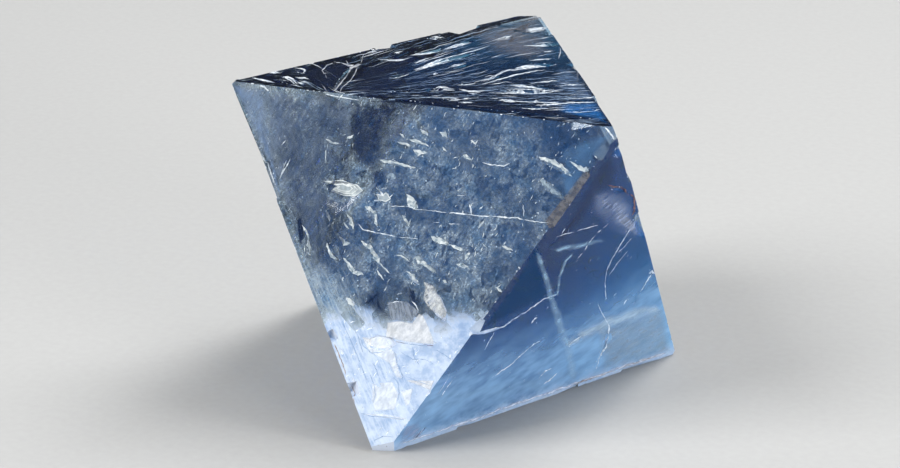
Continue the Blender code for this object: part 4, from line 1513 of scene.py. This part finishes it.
RIGHT_CRACKS = ribbons(
    ((480, 333.4, 1.1), (489, 330.3, 1.4), (503.5, 326, 1.6), (512, 320.5, 1.3), (520, 315.6, 1.2)),
    ((520, 315.6, 1.2), (527, 310.6, 1.8), (534, 305.5, 2.2), (544.6, 298.2, 1.2), (556, 294.5, 0.7)),
    ((484.4, 349.6, 0.8), (489, 341, 1.2), (493.9, 332, 0.8)),
    ((494.7, 376, 0.8), (502, 370, 1.4), (509.3, 365.7, 1.2), (518, 357, 1.6), (528.4, 348, 0.9)),
    ((528.4, 348, 0.8), (534, 343.6, 1.2), (540.2, 340.8, 1.1)),
    ((568, 345.2, 1), (573, 341, 2), (579.8, 336.4, 1.4), (588.6, 333.4, 0.8)),
    ((629.7, 229.2, 0.8), (623, 240, 1.2), (617.9, 248.3, 1.2), (611, 260, 1), (606.2, 270.3, 1.4)),
    ((606.2, 270.3, 1.2), (604.7, 282, 1), (605.5, 298.2, 0.7)),
    ((626.7, 251.2, 0.6), (617, 263, 0.8), (609, 274.7, 0.6)),
    ((631, 238, 0.6), (624, 246.5, 0.8), (618, 252, 0.6)),
    ((597.4, 302.6, 1.2), (600, 309, 0.9), (603.3, 315.8, 1.4), (609, 326, 2.4), (608.4, 335, 1.6)),
    ((608.4, 335, 1.6), (606, 346, 1.8), (602, 353, 1.4), (598.9, 358.4, 2.2), (595.9, 369, 1)),
    ((556.3, 236.6, 0.8), (565, 233.6, 1.2), (573.9, 231.4, 0.8)),
    ((561.4, 233.6, 1), (565, 227.8, 1.8)),
    ((577, 230.4, 0.7), (588, 227.4, 1), (597.4, 224.8, 0.7)),
    ((607.7, 223.4, 1), (603, 227.5, 0.8)),
    ((601, 229.4, 1), (597.4, 232.2, 1.2)),
    ((595, 235, 0.8), (588.6, 242.4, 1.3)),
    ((587, 245, 0.8), (584.5, 250, 1)),
    ((582.7, 252.7, 1.2), (576.8, 258.6, 0.8)),
    ((640, 292, 0.8), (646, 282, 1.4), (651, 274, 2.4)),
    ((648, 273.6, 1.6), (651.6, 271, 4), (654, 273.6, 2.4)),
    ((612.5, 296, 1.4), (616.5, 293, 1)),
    ((623, 305, 1), (627, 298, 1.8)),
    ((612.8, 156.4, 1.2), (615.4, 154.6, 1.6), (617.9, 158, 1)),
    ((531, 323, 1), (534, 319, 3.4), (537, 317, 1.4)),
    ((540, 376, 1), (545, 371, 2), (551, 368, 1.2)),
    ((543, 384, 1), (550, 379, 2.4), (557, 373, 1.4)),
    ((441, 396, 0.8), (447, 387, 1.4), (452, 380, 0.8)),
    ((437, 394, 0.6), (443, 386, 1), (449, 376, 0.6)),
)

SHELL = Plate(
    ((323.5, 181), (330.5, 181), (335.5, 186), (343, 180), (350.5, 183.5), (357.5, 184.7), (363, 190.5),
     (355, 196.7), (343.5, 195.6), (330, 191)),
    layers=3,
)

FRONT_PLATES = (
    SHELL,
    Plate(((376, 194), (382, 195), (386, 192), (391, 199), (386, 202), (378, 200))),
)

# Painted shade: dark blue sheets over the front face's darkest blocks.
NAVY_SHADES = clouds(
    1.3,
    ((353, 100), (374, 103), (400, 106), (384, 134), (388, 158), (372, 174), (354, 164), (347, 130)),
    ((371, 168), (390, 168), (386, 188), (368, 187)),
    ((295, 212), (305, 214), (303, 250), (296, 242)),
    ((357, 306), (361, 297), (369, 289), (377, 284), (384, 287), (387, 304), (390, 317), (378, 317),
     (368, 312)),
    ((407, 281), (419, 290), (422, 301), (416, 310), (407, 302), (404, 290)),
    rise=0.058,
)

# Painted shade: a dark slate sheet over the front face's upper middle.
SLATE_SHADES = clouds(
    2.2,
    ((262, 91), (348, 101), (358, 190), (354, 268), (330, 280), (302, 258), (278, 184)),
)

# Partly painted light: a pale lavender sheet at the front face's left corner, partly veil.
CORNER_VEILS_AND_LIGHT = clouds(
    1.3, ((231, 83), (264, 88), (270, 122), (278, 172), (284, 204), (266, 172), (248, 126)), rise=0.06
)

SKY_VEILS = clouds(1.4, ((559, 148), (612, 128), (612, 141), (592, 168), (566, 202), (556, 176)))

# Pale sheets over the front face's left part: partly veils, partly painted light that lightens it.
PALE_VEILS_AND_LIGHT = (
    *clouds(0.7, ((405, 104), (427, 134), (405, 144), (378, 142)), ((395, 170), (402, 184), (387, 183))),
    *clouds(
        0.5,
        ((233, 85), (354, 99), (352, 150), (345, 172), (324, 178), (330, 205), (318, 215), (325, 262),
         (316, 280), (306, 262), (262, 150)),
        rise=0.052,
    ),
    *clouds(1.2, ((232, 84), (288, 90), (286, 150), (296, 230), (262, 150)), rise=0.055),
)

GREY_PLATES = clouds(
    0.14, ((387.4, 302), (397, 300.4), (407, 300.8), (420, 311.7), (412, 322), (390.7, 320)), rise=0.071
)

GRANULAR_PLATES = (
    *clouds(
        0.25,
        ((423.8, 281.3), (430, 283), (434.8, 286), (438.8, 295), (443.8, 303.8), (446.9, 316.3),
         (441.3, 318.8), (431.3, 311.3), (426.9, 306.3), (422.5, 298.8), (424.6, 290)),
        rise=0.073,
    ),
    Plate(
        ((434.8, 297.8), (440, 301.3), (444.4, 307.5), (446.3, 315.6), (441.3, 318), (433.8, 311.3),
         (428.5, 305.9)),
        fade=0.4,
        rise=0.08,
    ),
)

CREAM_PLATES = clouds(
    0.3,
    ((387, 322), (398, 320), (412, 322), (419, 312.8), (424, 315), (430, 327), (435, 342), (434, 345),
     (422, 344.4), (409, 343), (397, 340.5), (385, 337.7)),
    ((363, 337.7), (372.6, 338.8), (371, 348)),
    ((405.9, 380), (420, 379.4), (435, 380), (430.8, 390.8), (418.9, 386.5), (409, 382.6)),
)

MILK_PLATES = clouds(
    0.3,
    ((361.4, 336.6), (385.3, 336.6), (389.6, 344.2), (397.2, 354), (398.3, 366), (402.6, 379), (396, 377.8),
     (388.5, 363.8), (374.4, 355), (369, 353)),
    ((372.2, 382.2), (378.7, 382.2), (380.9, 387.6), (392.9, 381), (399.4, 394), (397.2, 405), (395, 410.4),
     (374.4, 411.5), (371, 398.5)),
    ((400.4, 391), (413.5, 387.6), (410.2, 405), (405.9, 407)),
    ((360.3, 413.6), (385.3, 413), (402.6, 416.4), (408, 418), (402, 421), (380, 418)),
)

RIGHT_VEILS = clouds(1.2, ((397, 446), (404, 424), (420, 420), (424, 436)))

LILAC_VEILS = (
    *clouds(
        2.6, ((592, 192), (610, 185), (630, 193), (636, 210), (641, 236), (624, 240), (604, 228), (588, 212))
    ),
    Plate(
        ((610, 198), (626, 197), (634, 208), (640, 233), (628, 235), (612, 222)),
        fade=1.7,
        rise=0.057,
        crown=0.001,
        depth=0.05,
    ),
)

SMOKY_VEILS = clouds(
    1.7,
    ((600, 162), (613, 154), (619, 168), (616, 184), (600, 196), (584, 222), (562, 244), (552, 244),
     (574, 206)),
    rise=0.062,
)

RIGHT_MIST = clouds(2.4, ((596, 330), (640, 312), (666, 302), (673, 352), (640, 364), (600, 374)))

RIGHT_WEDGE = clouds(
    1.6, ((538, 240), (546, 266), (550, 296), (512, 317), (480, 331), (508, 288)), rise=0.052
)

RIGHT_BANDS = ribbons(
    ((535.8, 249.8, 6), (544.6, 274.7, 8), (550.4, 296.7, 9), (559.2, 323, 12), (566.6, 345.2, 12),
     (573.9, 380, 12)),
    ((550.4, 249.8, 6), (571, 246.8, 8), (606.2, 239.5, 6)),
    ((573.9, 251.2, 3), (563.6, 263, 4), (559.2, 276.2, 4), (556.3, 293.8, 4), (547.5, 296.7, 3)),
)

CORNER_BAND = ribbons(
    ((564, 346, 8), (583, 335, 14), (604.7, 324, 18), (626.7, 316, 18), (645, 311.5, 16), (661, 309, 12)),
)

# Painted highlight: pale ribbons along the right face's bottom edge, where it catches the light.
BOTTOM_RIM_HIGHLIGHT = ribbons(
    ((400, 444, 3), (420, 437, 4), (440, 430.4, 3), (460, 423.6, 4.4), (480, 416.6, 5), (496, 411, 6)),
    ((492, 412, 4), (506, 407, 6), (520, 402, 5), (540, 395.4, 4.4), (560, 388.6, 5.4), (580, 381.6, 5)),
    ((576, 383, 4), (600, 374.6, 5), (620, 367.6, 5.4), (640, 361, 5), (656, 355.6, 4), (668, 352, 3)),
)

TOP_SHADES = clouds(
    1.0,
    ((302, 72), (340, 62), (352, 66), (334, 91), (312, 87)),
    ((346, 91), (362, 68), (420, 52), (404, 88), (372, 95)),
    ((360, 101), (430, 99), (560, 110), (596, 120), (560, 118), (400, 104)),
)

CORNER_HAZE = clouds(4.5, ((462, 33), (506, 20), (542, 13), (554, 34), (560, 54), (530, 62), (486, 54)))

TOP_SHEEN = clouds(1.6, ((556, 68), (574, 70), (600, 102), (572, 98), (548, 84)))

# Painted light: a blue glow at the top face's right corner.
TOP_BLUE = clouds(2.2, ((560, 102), (600, 102), (612, 124), (590, 120), (552, 116)))

MILKY_CRACKS = ribbons(
    ((435.5, 349.5, 0.5), (444, 354.3, 0.9), (451, 359, 0.5)),
    ((360, 337.5, 0.5), (363.5, 346, 0.8), (372, 353, 0.7), (383, 352, 0.5)),
    ((394.7, 352, 0.5), (397, 362.7, 0.8), (403, 376, 0.8), (402.6, 380, 0.5)),
    ((372, 361.5, 0.5), (376.7, 370, 0.7), (379, 376, 0.4)),
    ((369.5, 372.3, 0.4), (374.3, 385.5, 0.8), (375.5, 395, 0.7), (372, 407, 0.5)),
    ((392.3, 376, 0.4), (398.3, 383, 0.7), (399.5, 392.7, 0.8), (397, 402, 0.5)),
    ((405.5, 376, 0.5), (420, 382, 0.7), (430.7, 385.5, 0.6)),
    ((358.8, 412, 0.5), (372, 416.2, 0.9), (391, 417, 0.8), (405.5, 420, 0.5)),
    ((352.8, 325.6, 0.4), (358.8, 337.5, 0.7), (362.8, 352, 0.5)),
    ((343, 323, 0.4), (351.6, 342, 0.7), (360, 361.5, 0.6), (367, 380.7, 0.4)),
    ((412.7, 346, 0.5), (414, 356.7, 0.8), (420, 366, 0.5)),
    ((400.7, 352, 0.4), (412.7, 359, 0.7), (424.7, 359, 0.7), (434, 364, 0.4)),
    ((374, 440.7, 0.6), (384, 436, 0.8), (394, 437, 0.5)),
    ((396.6, 341.6, 0.5), (409, 344, 0.8), (422, 345.6, 0.8), (434, 346, 0.6)),
)

DARK_SCRATCHES = ribbons(
    ((413.5, 440, 0.8), (418, 434.5, 1.4), (424, 428, 0.7)),
    ((584, 266, 0.6), (585, 268, 1), (586, 270, 0.6)),
)

EDGE_STAINS = ribbons(
    ((333.8, 342, 0.8), (338, 352, 1.4), (343, 364, 1.2), (346.4, 375, 0.9)),
    ((347.6, 383, 0.9), (351.4, 392, 1.3), (355, 403, 0.8)),
)

FRONT_STAINS = ribbons(
    ((336, 188.6, 0.7), (340, 190.6, 1.2), (345, 192, 0.6)),
    ((396, 341.4, 0.4), (402, 342.6, 0.7), (406, 343.2, 0.4)),
    ((424, 344.6, 0.4), (430, 345.4, 0.8), (434, 345.4, 0.5)),
)

RIM_STAINS = ribbons(
    ((574, 384.4, 0.8), (583, 380.6, 2.4), (592, 377.6, 1.6), (602, 374.4, 1.8), (612, 370.6, 0.8)),
    ((620, 367.8, 0.8), (632, 363.6, 1.6), (646, 359, 1.2), (662, 354, 0.8)),
)

RUST = ribbons(
    ((607.7, 184.5, 1), (613, 186.6, 2.4), (620.9, 187.4, 3), (624.5, 189.4, 2.4), (628.2, 195.5, 1.2)),
    ((630, 193.6, 1.4), (633.4, 197, 2), (634.4, 204.3, 2.4), (634.4, 209, 2.8), (632, 215, 1.4)),
)


@dataclass(frozen=True)
class Softbox:
    """A square soft light that looks at the crystal. Its place and its size are in metres."""

    name: str
    place: tuple[float, float, float]
    size: float
    power: float

    def add(self) -> None:
        """Adds the light to the scene."""
        data = bpy.data.lights.new(self.name, "AREA")
        data.shape = "SQUARE"
        data.size = self.size
        data.energy = self.power
        light = bpy.data.objects.new(self.name, data)
        way = crystal_middle() - Vector(self.place)
        turn = way.to_track_quat("-Z", "Y").to_matrix().to_4x4()
        light.matrix_world = Matrix.Translation(self.place) @ turn
        bpy.context.scene.collection.objects.link(light)


@dataclass
class Studio:
    """The floor, the camera and the soft lights.

    The sky's colours are linear. Its two bands are how far up it turns from one to the next.
    """

    floor_size: float = 4.0
    horizon: Colour = (0.58, 0.59, 0.61)
    wall: Colour = (0.05, 0.052, 0.056)
    zenith: Colour = (0.5, 0.51, 0.53)
    low_band: tuple[float, float] = (0.10, 0.28)
    high_band: tuple[float, float] = (0.55, 0.9)
    softboxes: tuple[Softbox, ...] = (
        Softbox("overhead_softbox", (0.26, 0.30, 0.70), 0.45, 7.8),
        Softbox("front_fill", (-0.55, -0.50, 0.70), 0.5, 12.0),
        Softbox("side_fill", (0.80, -0.42, 0.16), 0.3, 6.5),
    )

    def build(self) -> None:
        """Sets the floor, the lights and the camera up."""
        bm = bmesh.new()
        bmesh.ops.create_grid(bm, x_segments=1, y_segments=1, size=self.floor_size / 2)
        floor = new_object("floor", bm, FloorFinish().make())
        floor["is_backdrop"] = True
        self.add_sky()
        for softbox in self.softboxes:
            softbox.add()
        SIGHT.add_camera()
        bpy.context.scene.view_settings.view_transform = "Standard"

    def add_sky(self) -> None:
        """Adds the soft light from all round: pale at the horizon, dim above it, pale overhead."""
        world = bpy.data.worlds.new("studio")
        world.use_nodes = True
        graph = Graph(world.node_tree)
        way = graph.add("TexCoord").outputs["Generated"]
        rise = graph.add("SeparateXYZ", Vector=way).outputs["Z"]
        horizon, wall, zenith = ((*tone, 1.0) for tone in (self.horizon, self.wall, self.zenith))
        walls = graph.mix(graph.ramp(rise, *self.low_band), horizon, wall)
        sky = graph.mix(graph.ramp(rise, *self.high_band), walls, zenith)
        graph.fill(world.node_tree.nodes["Background"], Color=sky)
        bpy.context.scene.world = world


FLAKE = FlakeFinish()
MILK_FLAKE = FlakeFinish("milk_flake", (244, 248, 250), (206, 222, 242), 0.4)
RIGHT_CRACK = FlakeFinish("pale_crack", (232, 240, 250), (196, 214, 236), 0.45)
CLEAR_FLAKE = FlakeFinish("clear_flake", (150, 166, 176), (110, 130, 150), 0.3)
CRACK = FlakeFinish("bright_crack", (222, 228, 232), (180, 192, 202), 0.7)
# Painted highlight on real steps: the pale finish of the top face's streaks.
STEP_HIGHLIGHT = FlakeFinish("silver_streak", (236, 240, 242), (164, 178, 194), 0.66, 0.3)
VEIN = FlakeFinish("grey_vein", (188, 190, 194), (120, 128, 140), 0.5, 0.4)
FINE_STEP = FlakeFinish("fine_step", (136, 158, 182), (72, 94, 124), 0.4, 0.3)
# Partly veil, partly painted light.
PALE_VEIL_AND_LIGHT = VeilFinish("pale_veil", (132, 152, 184), 0.15, 0.35, 3.0, 65)
# Painted shade: dark slate.
SLATE_SHADE = VeilFinish("slate_veil", (44, 66, 98), 0.6, 0.9, 2.2, 70, 0.25)
# Partly veil, partly painted light.
CORNER_VEIL_AND_LIGHT = VeilFinish("corner_veil", (128, 154, 190), 0.4, 0.8, 3.0, 65, 0.3)
SKY_VEIL = VeilFinish("sky_veil", (92, 132, 174), 0.38, 0.3, 2.0, 60, 0.7)
# Painted shade: dark blue.
NAVY_SHADE = VeilFinish("navy_veil", (28, 46, 78), 0.62, 0.6, 4.0, 76, 0.5)
GREY_PLATE = VeilFinish("grey_plate", (148, 158, 172), 0.66, 0.6, 6.0, 110)
GRANULAR_PLATE = VeilFinish("granular_plate", (202, 206, 207), 0.82, 1.5, 1.6, 60, 0.3)
CREAM_PLATE = VeilFinish("cream_plate", (232, 234, 235), 0.66, 1.0, 1.5, 60, 0.75)
MILK_PLATE = VeilFinish("milk_plate", (240, 246, 252), 0.62, 0.8, 1.5, 60, 0.7)
HAZE = VeilFinish("haze", (170, 208, 238), 0.46, 0.25, 3.0, 18)
PALE_BAND = VeilFinish("pale_band", (190, 214, 232), 0.5, 0.3, 3.0, 18, 0.7)
LILAC_HAZE = VeilFinish("lilac_haze", (156, 172, 204), 0.56, 0.5, 4.0, 30, 0.3)
SMOKY_VEIL = VeilFinish("smoky_veil", (52, 64, 84), 0.4, 0.3, 3.0, 35, 0.7)
RIGHT_MIST_HAZE = VeilFinish("corner_mist", (150, 168, 184), 0.48, 0.5, 2.0, 12, 0.6)
WEDGE = VeilFinish("deep_wedge", (10, 60, 102), 0.62, 0.3, 2.0, 10, 0.8)
# Painted highlight for the right face's bottom edge.
RIM_HIGHLIGHT = VeilFinish("rim_bloom", (216, 226, 246), 0.9, 0.8, 2.0, 10, 0.3)
TOP_SHADE = VeilFinish("top_shade", (10, 22, 44), 0.75, 0.3, 6.0, 30, 0.6)
GREY_HAZE = VeilFinish("grey_haze", (100, 99, 104), 0.6, 0.4, 5.0, 40, 0.4)
BLUE_SHEEN = VeilFinish("blue_sheen", (104, 132, 168), 0.24, 0.4, 10.0, 20)
# Painted light: a blue glow.
CORNER_BLUE = VeilFinish("corner_blue", (24, 94, 158), 0.66, 0.4, 8.0, 20)
RUSTY = FlakeFinish("rust_stain", (138, 98, 86), (92, 66, 64), 0.6)
BROWN_RIM = FlakeFinish("brown_rim", (176, 158, 146), (120, 104, 100), 0.5)
MILKY_CRACK = FlakeFinish("milky_crack", (150, 176, 208), (112, 142, 182), 0.6)
SCRATCH = FlakeFinish("dark_scratch", (70, 82, 104), (44, 56, 80), 0.8)
RESTING_VEIL = VeilFinish("resting_bloom", (226, 236, 246), 0.8, grain=0.3)


def pieces() -> list[tuple[Flakes | FlakeField | FlowLines, FlakeFinish | VeilFinish]]:
    """Returns each piece that lies on the crystal, with its finish."""
    front, top, right = Face.FRONT, Face.TOP, Face.RIGHT
    laid = [
        # On the front face the pale and corner sheets are partly painted light, and the slate and dark blue
        # sheets are painted shade.
        (Flakes("pale_veils", front, plates=PALE_VEILS_AND_LIGHT), PALE_VEIL_AND_LIGHT),
        (Flakes("slate_veils", front, plates=SLATE_SHADES), SLATE_SHADE),
        (Flakes("corner_veils", front, plates=CORNER_VEILS_AND_LIGHT), CORNER_VEIL_AND_LIGHT),
        (Flakes("sky_veils", front, plates=SKY_VEILS), SKY_VEIL),
        (Flakes("navy_veils", front, plates=NAVY_SHADES), NAVY_SHADE),
        (Flakes("grey_plate", front, plates=GREY_PLATES), GREY_PLATE),
        (Flakes("cream_plates", front, plates=CREAM_PLATES), CREAM_PLATE),
        (Flakes("granular_plates", front, plates=GRANULAR_PLATES), GRANULAR_PLATE),
        (Flakes("milk_plates", front, plates=MILK_PLATES), MILK_PLATE),
        (Flakes("milky_cracks", front, MILKY_CRACKS, jags=(0.2, 1.2), seed=18), MILKY_CRACK),
        (Flakes("edge_stains", front, EDGE_STAINS), BROWN_RIM),
        (Flakes("front_stains", front, FRONT_STAINS), RUSTY),
        (Flakes("front_flakes", front, FRONT_FLAKES, FRONT_PLATES, spacing=2.8, splinters=3, swell=1.25,
                seed=11), FLAKE),
        (Flakes("clear_flakes", front, CLEAR_FLAKES, spacing=2.8, seed=15), CLEAR_FLAKE),
        (Flakes("front_cracks", front, FRONT_CRACKS, spacing=2.4, jags=(0.1, 1.2), seed=14), CRACK),
        (Flakes("crushed_spots", front, CRUSHED_SPOTS, spacing=1.4, splinters=26, seed=16), CRACK),
        (FlakeField("front_slivers", front, 260, lowest=-11, seed=21), FLAKE),
        (FlakeField("milky_slivers", front, 90, 70, 25, (0.3, 1.4), (0.08, 0.3), highest=-13, seed=22),
         MILK_FLAKE),
        (Flakes("top_shades", top, plates=TOP_SHADES), TOP_SHADE),
        (Flakes("corner_haze", top, plates=CORNER_HAZE), GREY_HAZE),
        (Flakes("top_sheen", top, plates=TOP_SHEEN), BLUE_SHEEN),
        # Painted light at the top face's right corner.
        (Flakes("corner_blue", top, plates=TOP_BLUE), CORNER_BLUE),
        # The top streaks, and the bright steps below, wear the painted highlight finish.
        (Flakes("top_streaks", top, TOP_STREAKS, spacing=2.4, jags=(0.3, 1.25), strand_width=0.62, seed=12),
         STEP_HIGHLIGHT),
        (Flakes("top_vein", top, TOP_VEIN, spacing=3, swell=1.4, seed=17), VEIN),
        (FlowLines("fine_steps", 240, widths=(0.15, 0.4), seed=24), FINE_STEP),
        (FlowLines("bright_steps", 90, (8, 44), (0.15, 0.45), seed=25), STEP_HIGHLIGHT),
        (Flakes("right_bands", right, RIGHT_BANDS, spacing=6, jags=(0.9, 1.1), soft=True), HAZE),
        (Flakes("corner_band", right, CORNER_BAND, spacing=6, jags=(0.9, 1.1), soft=True), PALE_BAND),
        (Flakes("right_veils", right, plates=(*LILAC_VEILS, *RIGHT_VEILS)), LILAC_HAZE),
        (Flakes("smoky_veils", right, plates=SMOKY_VEILS), SMOKY_VEIL),
        # Painted highlight along the right face's bottom edge.
        (Flakes("bottom_rim", right, BOTTOM_RIM_HIGHLIGHT, spacing=4, soft=True), RIM_HIGHLIGHT),
        (Flakes("corner_mist", right, plates=RIGHT_MIST), RIGHT_MIST_HAZE),
        (Flakes("deep_wedge", right, plates=RIGHT_WEDGE), WEDGE),
        (Flakes("rust_stains", right, RUST), RUSTY),
        (Flakes("rim_stains", right, RIM_STAINS), BROWN_RIM),
        (Flakes("dark_scratches", right, DARK_SCRATCHES), SCRATCH),
        (Flakes("right_cracks", right, RIGHT_CRACKS, jags=(0.15, 1.1), swell=0.85, splinters=1, seed=13),
         RIGHT_CRACK),
        (FlakeField("right_slivers", right, 60, 60, 25, (0.15, 0.6), (0.04, 0.1), seed=23), RIGHT_CRACK),
    ]
    hidden = (Face.LEFT, Face.BACK, Face.BACK_LEFT, Face.BACK_RIGHT, Face.BOTTOM)
    for index, face in enumerate(hidden):
        name = face.name.lower()
        slivers = FlakeField(f"{name}_slivers", face, 130, seed=40 + index)
        broad = FlakeField(f"{name}_flakes", face, 16, 60, 30, (1.2, 4.5), (0.3, 1.0), seed=50 + index)
        cracks = FlakeField(f"{name}_cracks", face, 5, 20, 45, (9, 30), (0.1, 0.2), reach=20, seed=60 + index)
        laid += [(slivers, FLAKE), (broad, FLAKE), (cracks, CRACK)]
    return laid


def main() -> None:
    """Builds the crystal, its frost, its flakes and the studio."""
    logging.basicConfig(level=logging.INFO, format="%(message)s")
    effects = Effects()
    crystal = Crystal().build(FluoriteFinish().make())
    built = [crystal, Frost().build(crystal, FrostFinish().make(effects))]
    surface = Surface(crystal)
    for part, finish in pieces():
        built.append(part.build(surface, finish.make(effects)))
    built.append(RestingBloom().build(RESTING_VEIL.make(effects)))
    built.append(EdgeCrumbs().build(crystal, CRACK.make(effects)))
    for piece in built:
        LOG.info("%s: %d faces", piece.name, len(piece.data.polygons))
    Studio().build()
    boxes = {"cad": CAD_BOX, "visual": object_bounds()}
    {name: [list(corner) for corner in box] for name, box in boxes.items()}


if __name__ == "__main__":
    main()
